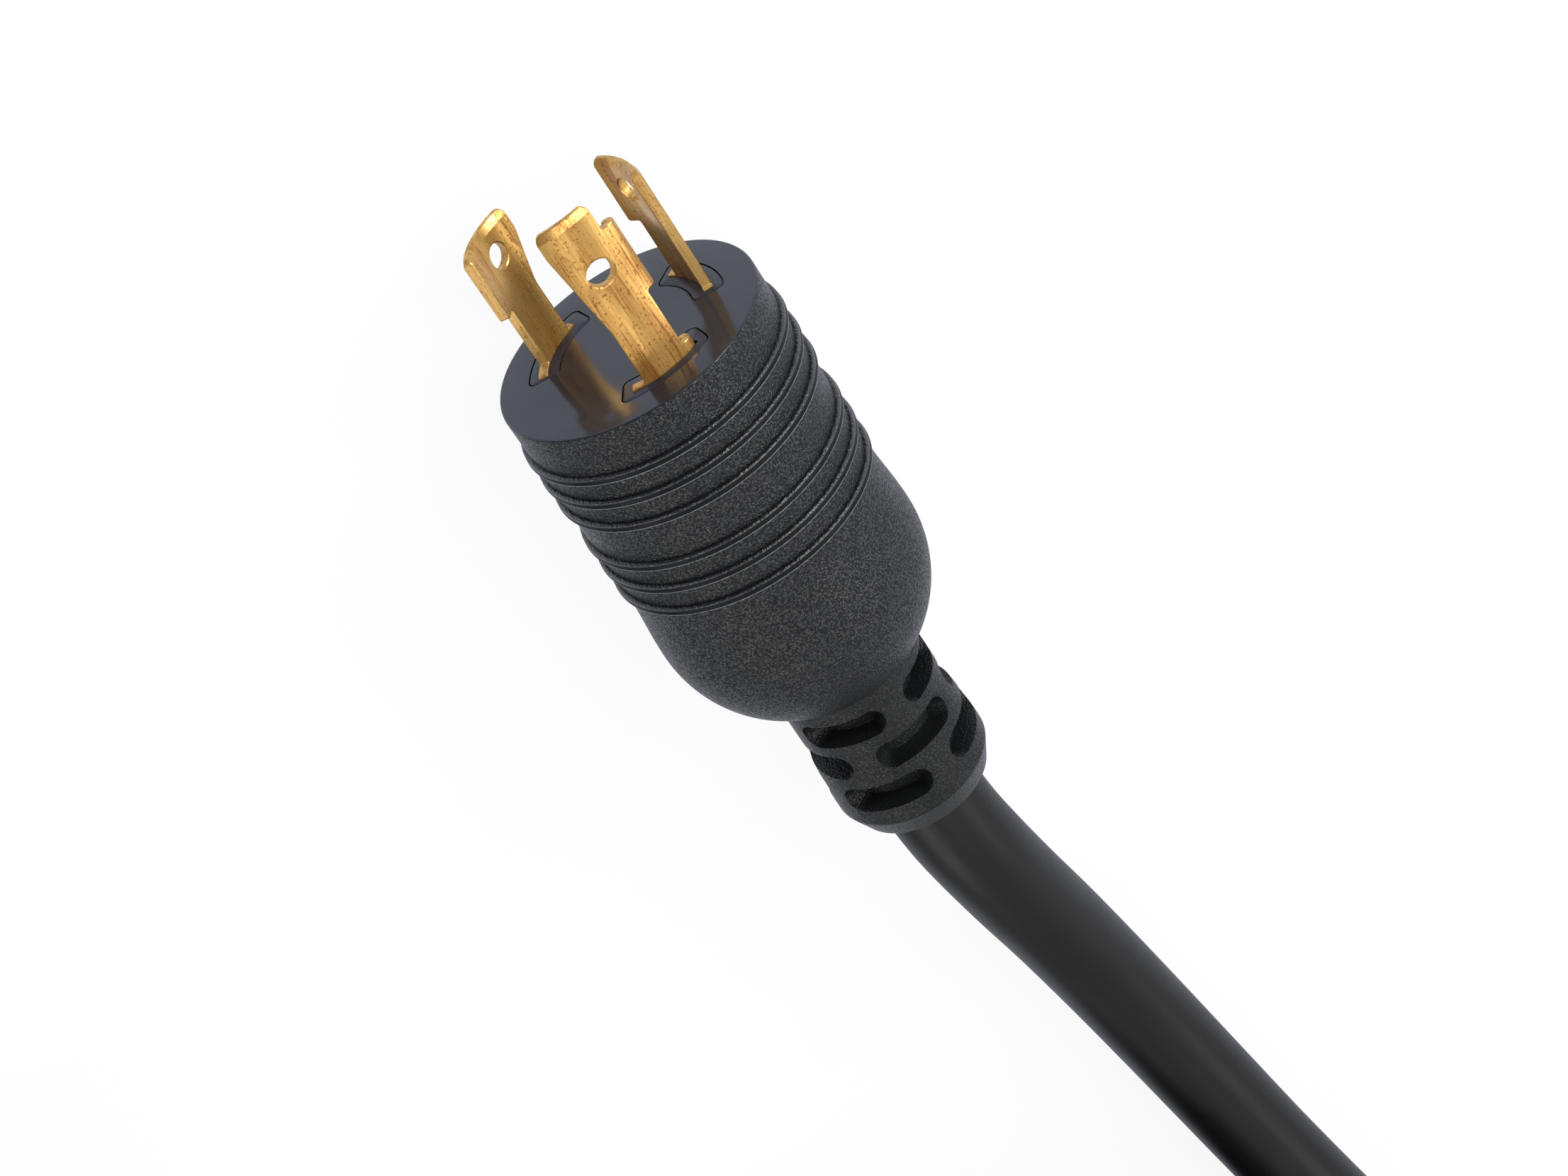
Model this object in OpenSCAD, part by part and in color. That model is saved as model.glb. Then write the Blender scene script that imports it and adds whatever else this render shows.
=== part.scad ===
// Shore power cord: moulded locking plug, coiled cord and locking connector.
// The plug lies on its grip rings along X, blades toward -X, cord toward +X.

/* [Plug body] */
// Diameter of the flat plug face
face_d = 43; // [42:0.5:46]
// Height of the grip rings over the body
ring_rise = 1; // [0.6:0.1:1.4]
// Width of one grip ring
ring_w = 1.4; // [1.2:0.1:2]
// Distance from one grip ring to the next in its group
ring_pitch = 4.7; // [4:0.1:5.5]
// Grip rings in each group
rings_per_group = 3; // [2:1:3]
// Distance from the face to the rear edge of the first grip ring
first_ring = 8.5; // [7:0.5:9]
// Distance between the two groups of grip rings
group_gap = 8.2; // [6:0.2:9]
// Length from the face to the start of the round end
body_len = 50; // [48:1:56]
// Swell of the round end over the body
dome_swell = 0.8; // [0.2:0.1:1]
// Thickness of the rubber over the blade carrier
face_wall = 4; // [3:0.5:5]

/* [Blades] */
// Diameter of the circle that the blades lie on
blade_circle = 27.9; // [27:0.1:28.8]
// Thickness of the blades
blade_t = 1.6; // [1.4:0.1:1.8]
// Length of the line and neutral blades
line_blade_len = 22.8; // [21:0.2:25]
// Length of the ground blade
ground_blade_len = 29; // [28:0.5:30]
// Width of a blade's neck
neck_w = 7.4; // [6.8:0.1:7.8]
// Step of the locking shoulder beside the neck
shoulder_w = 2.4; // [2:0.1:2.6]
// Distance from the face to the locking shoulder
shoulder_at = 11; // [9.5:0.5:12]
// Widening of the sloping edge from the neck to the tip
slope_w = 2.1; // [1.6:0.1:2.4]
// Diameter of the hole in each blade
blade_hole_d = 4; // [3.4:0.1:4.4]
// Distance from the face to the hole in the line and neutral blades
line_hole_at = 17.5; // [16.5:0.5:18]
// Distance from the face to the hole in the ground blade
ground_hole_at = 19; // [17.5:0.5:22]

/* [Strain relief] */
// Diameter of the boot where it leaves the body
boot_neck_d = 24.7; // [24:0.1:25.6]
// Largest diameter of the boot
boot_d = 26.6; // [26:0.1:28]
// Length of the boot outside the body
boot_len = 28.4; // [27:0.2:32]
// Width of the slots across the boot
slot_w = 3; // [2.4:0.1:3.6]
// Depth of the slots
slot_depth = 2.4; // [1.5:0.1:2.6]
// Angle that each slot takes round the boot
slot_span = 56; // [40:1:64]
// Distance from the body to the middle of the first row of slots
first_slot = 6.2; // [5:0.1:7]
// Distance from one row of slots to the next
slot_pitch = 6.35; // [5.6:0.05:6.6]

/* [Cord] */
// Diameter of the cord's jacket
cord_d = 17; // [16:0.25:17.25]
// Diameter of an insulated core
core_d = 4.8; // [4.2:0.1:5]
// Diameter of a copper conductor
copper_d = 3; // [2.6:0.1:3.4]
// Whole loops in the coil
coil_loops = 7; // [5:1:7]
// Mean radius of the coil
coil_mean_r = 86.5; // [85:0.5:92]
// Free gap from turn to turn and from layer to layer
coil_gap = 0.5; // [0.5:0.1:0.9]
// Thickness of the ties
tie_t = 2; // [1.5:0.1:2.5]
// Width of the ties
tie_w = 25; // [20:1:30]

/* [Connector] */
// Diameter of the connector's nose
nose_d = 40; // [39.4:0.2:40.6]
// Length of the nose in front of the body
nose_len = 16.5; // [15.5:0.5:18]
// Diameter of the connector's body
connector_d = 49; // [48:0.2:49.4]
// Length from the connector's front to the start of its round end
connector_len = 50; // [48:1:56]
// Outer diameter of the locking ring
lock_ring_d = 51; // [50.6:0.2:54]
// Reach of the locking ring in front of the nose
lock_ring_reach = 6; // [5:0.5:8]
// Bore of the locking ring's thread
thread_d = 46.4; // [46:0.1:46.8]
// Distance from one thread groove to the next
thread_pitch = 2.5; // [2:0.1:3]
// Width of the contact slots
contact_slot_w = 2.3; // [2.1:0.1:2.6]
// Running clearance of the locking ring on the nose
ring_clear = 0.08; // [0.05:0.01:0.1]

/* [Hidden] */
$fn = 64;

// Radii of the plug
body_r = face_d / 2;
dome_r = body_r + dome_swell;
face_rim = 0.4;
blade_r = blade_circle / 2;
neck_r = boot_neck_d / 2;
boot_r = boot_d / 2;
cord_r = cord_d / 2;

// Stations along a moulded end, measured from its front
carrier_t = 5;
carrier_end = face_wall + carrier_t;
anchor_lead = 7;
anchor_t = 3;
waist_len = 4;
jacket_grip = 3;
dome_end = body_len + sqrt(pow(dome_r, 2) - pow(neck_r, 2));
boot_end = dome_end + boot_len;

// Walls inside a moulded end
carrier_r = body_r - 3;
core_wall = 4;
core_front = 12;
core_tip_r = neck_r - 0.35;
anchor_r = neck_r + 2.65;
waist_r = neck_r - 1.55;

// The plug's place: the middle of its length over the origin, its rings on the floor
face_x = (ground_blade_len - boot_end) / 2;
axis_h = body_r + max(ring_rise, dome_swell);

// Each blade: angle round the axis, length, hole distance, island start and end angles
LINE = [-135, line_blade_len, line_hole_at, -31, 30.5];
NEUTRAL = [-17, line_blade_len, line_hole_at, -31, 30.5];
GROUND = [80, ground_blade_len, ground_hole_at, -38, 30.5];
BLADES = [LINE, NEUTRAL, GROUND];
island_in = 2.65;
island_out = 2.35;
tip_corner = 1.2;
tip_bevel = 0.5;
ground_tip_step = 0.7;
curl_r = blade_t / 2 + 0.35;
curl_bore = 0.4;
curl_inside = 0.4;
curl_inset = curl_r - blade_t / 2 - 0.15;
curl_angle = -18.9;
curl_edge = blade_r * sin(-curl_angle);
curl_from = shoulder_at + 1;
curl_to = ground_blade_len - 5.2;

// Wire ends: from the crimp barrel to the jacket
barrel_len = 9;
barrel_wall = 1.1;
barrel_floor = 1;
core_stop = 1.5;
core_end_r = 4.4;
tongue_w = 4.8;
tongue_end = carrier_end + 4;
base_w = neck_w + 5;
base_end = carrier_end - 2;
jacket_from = body_len + anchor_lead - jacket_grip;
wire_from = carrier_end + 3;

// Connector
connector_r = connector_d / 2;
nose_r = nose_d / 2;
connector_dome_r = connector_r + 0.7;
connector_ring_r = connector_r + ring_rise;
connector_dome_end = connector_len + sqrt(pow(connector_dome_r, 2) - pow(neck_r, 2));
connector_boot_end = connector_dome_end + boot_len;
connector_first_ring = nose_len + 7.5;
connector_h = max(lock_ring_d / 2, connector_ring_r);
contact_carrier_r = nose_r - 3;
contact_carrier_len = 32;
contact_back = 2;
contact_lip = 2;
contact_t = 0.8;
contact_gap = 1.4;
contact_half = 16;
pocket_half = 36;
pocket_r = contact_gap + contact_t;
post_r = 1.8;
post_lap = 1.5;
end_jacket_from = connector_len + anchor_lead - jacket_grip;
end_wire_from = contact_carrier_len + 1;
flange_rise = 2.3;
flange_t = 3;
flange_at = nose_len - 8;
gasket_t = 1.5;
lock_gap = 0.3;
thread_depth = 0.7;
flutes = 24;
flute_r = 1;
flute_depth = 0.6;

// Coil: clockwise from above, inward on the lower layer and outward on the upper one
coil_centre = [257, -94];
coil_pitch = cord_d + coil_gap;
coil_from_angle = 98;
coil_to_angle = -90;
coil_total = 360 * coil_loops + coil_from_angle - coil_to_angle;
coil_inner_r = coil_mean_r - coil_pitch * coil_total / 360 / 4;
coil_climb = 180;
coil_step = 15;
coil_sides = 6;
tie_clear = 0.2;
tie_facet = 12;
coil_z = tie_t + tie_clear + cord_r;
tie_angles = [20, 200];

// Hand-chosen routes of the free stretches
tube_sides = 12;
lead_points = [
    [63, 0, 22.5], [67, 0, 22.5], [74, 0.4, 22.2], [82, 1.3, 21.2], [95, 3, 18.2], [110, 5.2, 14.5],
    [127, 7.5, 11.2], [145, 9.9, 9.2], [164, 12.5, 8.8], [186, 15.6, 9], [202, 18.2, 9.8]
];
tail_points = [
    [212, -211.3, 27.9], [190, -205.6, 27.2], [168, -199, 26.3], [152, -195.8, 25.7],
    [142, -195, 25.5], [134, -195, 25.5]
];
tail_end = tail_points[len(tail_points) - 1];
connector_x = tail_end.x - connector_boot_end;
connector_y = tail_end.y;

body_colour = "#1d1e20";
boot_colour = "#232426";
cord_colour = "#1a1a1b";
carrier_colour = "#26282c";
brass_colour = "#b5893f";
copper_colour = "#b87333";

// Points

function polar(r, a) = [r * cos(a), r * sin(a)];

function arc(centre, r, from, to, steps) =
    [for (i = [0:steps]) centre + polar(r, from + (to - from) * i / steps)];

// One grip ring in section: a round front, a flat top and a crisp rear edge
function grip_ring(r, rear) = concat(
    arc([r, rear - ring_w + ring_rise], ring_rise, -90, 0, 4),
    [[r + ring_rise, rear - 0.2], [r + ring_rise - 0.2, rear], [r, rear]]
);

function ring_row(r, first, count) = [
    for (i = [0:count - 1]) each grip_ring(r, first + i * ring_pitch)
];

// Swell from the straight body to the round end, then the round end down to the boot
function round_end(r, end_r, from, start) = concat(
    [for (i = [0:6]) [r + (end_r - r) * (1 - cos(30 * i)) / 2, from + (start - from) * i / 6]],
    [for (i = [1:12]) [0, start] + polar(end_r, acos(neck_r / end_r) * i / 12)]
);

// Hollow inside a moulded end, from the boot back to the front face of the inner moulding
function hollow(start, front_r, front) = [
    [neck_r, start + anchor_lead + anchor_t + waist_len],
    [waist_r, start + anchor_lead + anchor_t + waist_len],
    [waist_r, start + anchor_lead + anchor_t],
    [anchor_r, start + anchor_lead + anchor_t],
    [anchor_r, start + anchor_lead],
    [core_tip_r, start + anchor_lead],
    [front_r, front + core_front],
    [front_r, front]
];

// Outline of a blade: across the blade, then along the axis from the face.
// The line and neutral blades have a locking shoulder, the ground blade a flange for its rolled edge.
function locking_side(b) =
    let (wide = neck_w / 2 + shoulder_w, length = b[1])
    [[tip_corner - wide, -length], [-wide, tip_corner - length], [-wide, -shoulder_at],
        [-neck_w / 2, -shoulder_at], [-neck_w / 2, 0], [-base_w / 2, 0], [-base_w / 2, base_end]];

function rolled_side(b) =
    let (wide = neck_w / 2 - ground_tip_step, length = b[1])
    [[tip_corner - wide, -length], [-wide, tip_corner - length], [-wide, -curl_to], [-curl_edge, -curl_to],
        [-curl_edge, -curl_from], [-neck_w / 2, -curl_from], [-neck_w / 2, 0], [-curl_edge, 0],
        [-curl_edge, base_end]];

function blade_outline(b) =
    let (high = neck_w / 2 + slope_w, length = b[1])
    concat(b == GROUND ? rolled_side(b) : locking_side(b), [
        [-tongue_w / 2, base_end], [-tongue_w / 2, tongue_end],
        [tongue_w / 2, tongue_end], [tongue_w / 2, base_end], [base_w / 2, base_end],
        [base_w / 2, 0], [neck_w / 2, 0], [neck_w / 2, 1 - shoulder_at],
        [high, tip_corner - length], [high - tip_corner, -length]
    ]);

// Section of a blade: bevelled at the tip
function blade_section(length) = [
    [blade_r - blade_t / 2, tip_corner - length], [blade_r - blade_t / 2 + tip_bevel, -length],
    [blade_r + blade_t / 2 - tip_bevel, -length], [blade_r + blade_t / 2, tip_corner - length],
    [blade_r + blade_t / 2, tongue_end], [blade_r - blade_t / 2, tongue_end]
];

// Coil centre line

function coil_radius(a) = coil_inner_r + coil_pitch * abs(a - coil_total / 2) / 360;

function coil_climb_part(a) =
    min(1, max(0, (a - coil_total / 2 + coil_climb / 2) / coil_climb));

function coil_height(a) = coil_z + coil_pitch * (1 - cos(180 * coil_climb_part(a))) / 2;

function coil_point(a) =
    concat(coil_centre + polar(coil_radius(a), coil_from_angle - a), coil_height(a));

// Radius and height of every turn under a tie, at its middle and at its two edges
function tie_turns(angle) = [
    for (a = [(coil_from_angle - angle + 360) % 360:360:coil_total])
        for (side = [-1:1])
            let (off = side * asin(tie_w / 2 / coil_radius(a)))
            [coil_radius(a + off) * cos(off), coil_height(a + off)]
];

// A tight line round equal circles
function farthest(points, angle) =
    let (reach = [for (p = points) p * polar(1, angle)])
    points[search(max(reach), reach)[0]];

function wrap(points, r) =
    [for (angle = [0:tie_facet:359]) farthest(points, angle) + polar(r, angle)];

function coil_heading(angle) = [sin(angle), -cos(angle), 0];

coil_turn = [
    for (i = [0:floor(coil_total / coil_step)]) coil_point(i * coil_step),
    if (coil_total % coil_step > 0) coil_point(coil_total)
];
coil_in = coil_turn[0] - cord_d * coil_heading(coil_from_angle);
coil_out = coil_turn[len(coil_turn) - 1] + cord_d * coil_heading(coil_to_angle);
before_coil = coil_in - cord_r * coil_heading(coil_from_angle);
after_coil = coil_out + cord_r * coil_heading(coil_to_angle);
coil_route = concat([coil_in], coil_turn, [coil_out]);

coil_near = min([
    for (i = [0:len(coil_turn) - 1])
        for (j = [i + 12:1:len(coil_turn) - 1]) norm(coil_turn[i] - coil_turn[j])
]);

// Tube swept along a route

function direction(p, i) =
    let (ahead = p[min(i + 1, len(p) - 1)], behind = p[max(i - 1, 0)])
    (ahead - behind) / norm(ahead - behind);

function tube_ring(p, i, r, sides) =
    let (
        along = direction(p, i),
        level = cross(along, [0, 0, 1]),
        side = level / norm(level),
        up = cross(side, along)
    )
    [for (k = [0:sides - 1]) p[i] + r * (cos(90 + 360 * k / sides) * side + sin(90 + 360 * k / sides) * up)];

function tube_faces(rings, sides) = concat(
    [for (k = [1:sides - 2]) [0, k, k + 1]],
    [for (i = [0:rings - 2]) for (k = [0:sides - 1])
        let (a = i * sides + k, b = i * sides + (k + 1) % sides)
        each [[a, a + sides, b], [b, a + sides, b + sides]]],
    [for (k = [1:sides - 2])
        let (last = (rings - 1) * sides)
        [last, last + k + 1, last + k]]
);

module tube(route, r, sides) {
    polyhedron(
        points = [for (i = [0:len(route) - 1]) each tube_ring(route, i, r, sides)],
        faces = tube_faces(len(route), sides)
    );
}

// Frames: the axis of each moulded end lies along z, from its front toward the cord

module plug_frame() {
    translate([face_x, 0, axis_h]) rotate([90, 0, 90]) children();
}

module connector_frame() {
    translate([connector_x, connector_y, connector_h]) rotate([90, 0, 90]) children();
}

// A core's own frame, slanting from the blade circle in to the jacket
module core_frame(angle, from, to) {
    tilt = atan((blade_r - core_end_r) / (to - from));
    rotate([0, 0, angle]) translate([blade_r, 0, from]) rotate([0, -tilt, 0]) children();
}

function core_len(from, to) = norm([blade_r - core_end_r, to - from]) - core_stop;

module sector(from, to, r_in, r_out, z_from, z_to) {
    rotate([0, 0, from])
        rotate_extrude(angle = to - from)
            translate([r_in, z_from]) square([r_out - r_in, z_to - z_from]);
}

// Shared pieces of the two ends

module wire(angle, from, to) {
    core_frame(angle, from, to)
        translate([0, 0, barrel_floor])
            cylinder(d = copper_d, h = core_len(from, to) - barrel_floor);
}

module insulation_blank(angle, from, to) {
    core_frame(angle, from, to)
        translate([0, 0, barrel_len])
            cylinder(d = core_d, h = core_len(from, to) - barrel_len);
}

module insulation(angle, from, to) {
    difference() {
        insulation_blank(angle, from, to);
        core_frame(angle, from, to) cylinder(d = copper_d, h = 2 * core_len(from, to));
    }
}

module barrel_blank(angle, from, to) {
    core_frame(angle, from, to) cylinder(r = copper_d / 2 + barrel_wall, h = barrel_len);
}

module boot(start, end_at) {
    flare_from = end_at - boot_len + 10.5;
    rim = end_at - 5.5;
    difference() {
        rotate_extrude() polygon(concat(
            [
                [cord_r, start + anchor_lead], [anchor_r, start + anchor_lead],
                [anchor_r, start + anchor_lead + anchor_t],
                [waist_r, start + anchor_lead + anchor_t],
                [waist_r, start + anchor_lead + anchor_t + waist_len],
                [neck_r, start + anchor_lead + anchor_t + waist_len]
            ],
            [for (i = [0:4]) [
                neck_r + (boot_r - neck_r) * sin(90 * i / 4),
                flare_from + (rim - flare_from) * i / 4
            ]],
            [[boot_r - 0.4, end_at - 4], [cord_r + 1.1, end_at], [cord_r, end_at]]
        ));
        for (row = [0:2])
            for (k = [0:3])
                boot_slot(end_at - boot_len + first_slot + row * slot_pitch, 32 + 90 * k + 45 * (row % 2));
    }
}

module boot_slot(at, angle) {
    sector(angle - slot_span / 2, angle + slot_span / 2, neck_r - slot_depth, boot_r + 1,
        at - slot_w / 2, at + slot_w / 2);
}

module jacket(from, to) {
    translate([0, 0, from]) cylinder(r = cord_r, h = to - from);
}

// Plug

module island(b, from, to) {
    sector(b[0] + b[3], b[0] + b[4], blade_r - island_in - (b == GROUND ? 0.7 : 0), blade_r + island_out,
        from, to);
}

module plug_body() {
    rear_group = first_ring + (rings_per_group - 1) * ring_pitch + group_gap;
    last_ring = rear_group + (rings_per_group - 1) * ring_pitch;
    color(body_colour) plug_frame() difference() {
        rotate_extrude($fn = 96) polygon(concat(
            [[0, 0]],
            arc([body_r - face_rim, face_rim], face_rim, -90, 0, 3),
            ring_row(body_r, first_ring, rings_per_group),
            ring_row(body_r, rear_group, rings_per_group),
            round_end(body_r, dome_r, last_ring + 2, body_len),
            hollow(body_len, body_r - core_wall, carrier_end),
            [[carrier_r, carrier_end], [carrier_r, face_wall], [0, face_wall]]
        ));
        for (b = BLADES) island(b, -1, face_wall + 1);
    }
}

module blade_carrier() {
    color(carrier_colour) plug_frame() difference() {
        union() {
            translate([0, 0, face_wall]) cylinder(r = carrier_r, h = carrier_t);
            for (b = BLADES) island(b, 0, face_wall + 1);
        }
        for (b = BLADES) blade_blank(b);
    }
}

module plug_core() {
    mould_r = body_r - core_wall;
    color(carrier_colour) plug_frame() difference() {
        rotate_extrude() polygon([
            [0, carrier_end], [mould_r, carrier_end], [mould_r, carrier_end + core_front],
            [core_tip_r, body_len + anchor_lead], [0, body_len + anchor_lead]
        ]);
        jacket(jacket_from, body_len + anchor_lead + 1);
        for (b = BLADES) {
            blade_blank(b);
            wire(b[0], wire_from, jacket_from);
            insulation_blank(b[0], wire_from, jacket_from);
        }
    }
}

module strain_relief() {
    color(boot_colour) plug_frame() boot(body_len, boot_end);
}

module plug_jacket() {
    color(cord_colour) plug_frame() jacket(jacket_from, boot_end);
}

// The rolled edge of the ground blade
module curl(from, to, r) {
    rotate([0, 0, curl_angle]) translate([blade_r - curl_inset, 0, from]) cylinder(r = r, h = to - from);
}

module blade_sheet(b) {
    intersection() {
        rotate_extrude() polygon(blade_section(b[1]));
        translate([blade_r / 2, 0, 0]) rotate([90, 0, 90]) linear_extrude(blade_r) polygon(blade_outline(b));
    }
}

module blade_blank(b) {
    rotate([0, 0, b[0]]) {
        blade_sheet(b);
        if (b == GROUND) {
            curl(curl_inside - curl_to, -curl_from - curl_inside, curl_r);
            curl(0, base_end - curl_inside, curl_r);
        }
    }
    barrel_blank(b[0], wire_from, jacket_from);
}

module blade(b) {
    color(brass_colour) plug_frame() difference() {
        blade_blank(b);
        wire(b[0], wire_from, jacket_from);
        rotate([0, 0, b[0]]) {
            translate([0, 0, -b[2]]) rotate([0, 90, 0]) cylinder(d = blade_hole_d, h = body_r);
            if (b == GROUND) curl(-curl_to - 1, 1 - curl_from, curl_bore);
        }
    }
}

module plug_wire(b) {
    color(copper_colour) plug_frame() wire(b[0], wire_from, jacket_from);
}

module plug_insulation(b, colour) {
    color(colour) plug_frame() insulation(b[0], wire_from, jacket_from);
}

// Cord

module cord_lead() {
    color(cord_colour) tube(concat(lead_points, [before_coil, coil_in]), cord_r, tube_sides);
}

module cord_coil() {
    echo(coil_least_gap = coil_near - cord_d);
    color(cord_colour) tube(coil_route, cord_r, coil_sides);
}

module cord_tail() {
    color(cord_colour) tube(concat([coil_out, after_coil], tail_points), cord_r, tube_sides);
}

// Hook-and-loop strap round all the turns
module coil_tie(angle) {
    turns = tie_turns(angle);
    color("#2b2d31")
        translate([coil_centre.x, coil_centre.y, 0]) rotate([0, 0, angle])
            translate([0, tie_w / 2, 0]) rotate([90, 0, 0])
                linear_extrude(tie_w) difference() {
                    polygon(wrap(turns, cord_r + tie_clear + tie_t));
                    polygon(wrap(turns, cord_r + tie_clear));
                }
}

// Connector

function mate_angle(b) = 180 - b[0];

module connector_body() {
    last_ring = connector_first_ring + (rings_per_group - 1) * ring_pitch;
    color(body_colour) connector_frame() rotate_extrude($fn = 96) polygon(concat(
        [
            [contact_carrier_r, 0], [nose_r - face_rim, 0], [nose_r, face_rim],
            [nose_r, flange_at], [nose_r + flange_rise, flange_at],
            [nose_r + flange_rise, flange_at + flange_t], [nose_r, flange_at + flange_t],
            [nose_r, nose_len], [connector_r - face_rim, nose_len], [connector_r, nose_len + face_rim]
        ],
        ring_row(connector_r, connector_first_ring, rings_per_group),
        round_end(connector_r, connector_dome_r, last_ring + 2, connector_len),
        hollow(connector_len, contact_carrier_r, contact_carrier_len)
    ));
}

// Arc slot of the socket for one blade, with room for the ground blade's rolled edge
module contact_slot(b, inner, outer, from, to) {
    a = mate_angle(b);
    sector(a - pocket_half, a + pocket_half, inner, outer, from, to);
    if (b == GROUND)
        sector(a + contact_half + 4, a + pocket_half - 2, blade_r - pocket_r - 1.6, blade_r - 0.5, from, to);
}

module socket_plate() {
    slot = contact_slot_w / 2;
    color("#3a3c40") connector_frame() difference() {
        cylinder(r = contact_carrier_r, h = contact_lip);
        for (b = BLADES) contact_slot(b, blade_r - slot, blade_r + slot, -1, contact_lip + 1);
    }
}

// Hub with three ribs, between which the contacts stand
module contact_carrier() {
    back = contact_carrier_len - contact_back;
    color("#3a3c40") connector_frame() difference() {
        translate([0, 0, contact_lip]) cylinder(r = contact_carrier_r, h = back - contact_lip);
        for (b = BLADES)
            contact_slot(b, blade_r - pocket_r, contact_carrier_r + 1, contact_lip - 1, back + 1);
    }
}

module socket_back() {
    color("#3a3c40") connector_frame() difference() {
        translate([0, 0, contact_carrier_len - contact_back])
            cylinder(r = contact_carrier_r, h = contact_back);
        for (b = BLADES) contact_post(b);
    }
}

// Solid post that carries the contact through the back of the carrier
module contact_post(b) {
    rotate([0, 0, mate_angle(b)])
        translate([blade_r, 0, contact_carrier_len - contact_back - contact_t / 2])
            cylinder(r = post_r, h = contact_back + contact_t / 2 + post_lap);
}

module connector_core() {
    color(carrier_colour) connector_frame() difference() {
        rotate_extrude() polygon([
            [0, contact_carrier_len], [contact_carrier_r, contact_carrier_len],
            [contact_carrier_r, contact_carrier_len + core_front],
            [core_tip_r, connector_len + anchor_lead], [0, connector_len + anchor_lead]
        ]);
        jacket(end_jacket_from, connector_len + anchor_lead + 1);
        for (b = BLADES) {
            contact_post(b);
            barrel_blank(mate_angle(b), end_wire_from, end_jacket_from);
            wire(mate_angle(b), end_wire_from, end_jacket_from);
            insulation_blank(mate_angle(b), end_wire_from, end_jacket_from);
        }
    }
}

module connector_relief() {
    color(boot_colour) connector_frame() boot(connector_len, connector_boot_end);
}

module connector_jacket() {
    color(cord_colour) connector_frame() jacket(end_jacket_from, connector_boot_end);
}

// Two spring leaves joined by a web, with a post and a crimp barrel behind
module contact(b) {
    back = contact_carrier_len - contact_back;
    color(brass_colour) connector_frame() difference() {
        union() {
            rotate([0, 0, mate_angle(b) - contact_half]) rotate_extrude(angle = 2 * contact_half) polygon([
                [blade_r - pocket_r, contact_lip], [blade_r - contact_gap, contact_lip],
                [blade_r - contact_gap, back - contact_t], [blade_r + contact_gap, back - contact_t],
                [blade_r + contact_gap, contact_lip], [blade_r + pocket_r, contact_lip],
                [blade_r + pocket_r, back], [blade_r - pocket_r, back]
            ]);
            contact_post(b);
            barrel_blank(mate_angle(b), end_wire_from, end_jacket_from);
        }
        wire(mate_angle(b), end_wire_from, end_jacket_from);
    }
}

module connector_wire(b) {
    color(copper_colour) connector_frame() wire(mate_angle(b), end_wire_from, end_jacket_from);
}

module connector_insulation(b, colour) {
    color(colour) connector_frame() insulation(mate_angle(b), end_wire_from, end_jacket_from);
}

module face_gasket() {
    color("#101010") connector_frame() translate([0, 0, flange_at - gasket_t]) difference() {
        cylinder(r = nose_r + flange_rise, h = gasket_t);
        translate([0, 0, -1]) cylinder(r = nose_r, h = gasket_t + 2);
    }
}

module locking_ring() {
    thread_r = thread_d / 2;
    lip_from = flange_at + flange_t + lock_gap;
    rear = nose_len - lock_gap;
    outer = lock_ring_d / 2;
    grooves = floor((lip_from - gasket_t - flange_t + lock_ring_reach - 2) / thread_pitch);
    color(body_colour) connector_frame() difference() {
        rotate_extrude($fn = 96) polygon(concat(
            [[outer - 0.8, -lock_ring_reach], [outer, 0.8 - lock_ring_reach], [outer, rear - 0.8]],
            [[outer - 0.8, rear], [nose_r + ring_clear, rear], [nose_r + ring_clear, lip_from]],
            [[thread_r, lip_from]],
            [for (i = [grooves - 1:-1:0]) each [
                [thread_r, (i + 0.9) * thread_pitch + 1 - lock_ring_reach],
                [thread_r + thread_depth, (i + 0.5) * thread_pitch + 1 - lock_ring_reach],
                [thread_r, (i + 0.1) * thread_pitch + 1 - lock_ring_reach]
            ]],
            [[thread_r, -lock_ring_reach]]
        ));
        for (k = [0:flutes - 1])
            rotate([0, 0, (k + 0.5) * 360 / flutes])
                translate([outer + flute_r - flute_depth, 0, 2 - lock_ring_reach])
                    cylinder(r = flute_r, h = rear + lock_ring_reach - 4, $fn = 24);
    }
}

plug_body();
blade_carrier();
plug_core();
strain_relief();
plug_jacket();
blade(LINE);  // line_blade
blade(NEUTRAL);  // neutral_blade
blade(GROUND);  // ground_blade
plug_wire(LINE);  // line_wire
plug_wire(NEUTRAL);  // neutral_wire
plug_wire(GROUND);  // ground_wire
plug_insulation(LINE, "#151515");  // line_insulation
plug_insulation(NEUTRAL, "#e8e6df");  // neutral_insulation
plug_insulation(GROUND, "#2f7d43");  // ground_insulation
cord_lead();
cord_coil();
cord_tail();
coil_tie(tie_angles[0]);  // coil_tie_a
coil_tie(tie_angles[1]);  // coil_tie_b
connector_body();
socket_plate();
contact_carrier();
socket_back();
connector_core();
connector_relief();
connector_jacket();
contact(LINE);  // line_contact
contact(NEUTRAL);  // neutral_contact
contact(GROUND);  // ground_contact
connector_wire(LINE);  // line_end_wire
connector_wire(NEUTRAL);  // neutral_end_wire
connector_wire(GROUND);  // ground_end_wire
connector_insulation(LINE, "#151515");  // line_end_insulation
connector_insulation(NEUTRAL, "#e8e6df");  // neutral_end_insulation
connector_insulation(GROUND, "#2f7d43");  // ground_end_insulation
face_gasket();
locking_ring();
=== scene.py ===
import logging
import math
from dataclasses import dataclass, field
from enum import Enum
from typing import Optional, Sequence

import bmesh
import bpy
import numpy as np
from mathutils import Matrix, Vector


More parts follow.
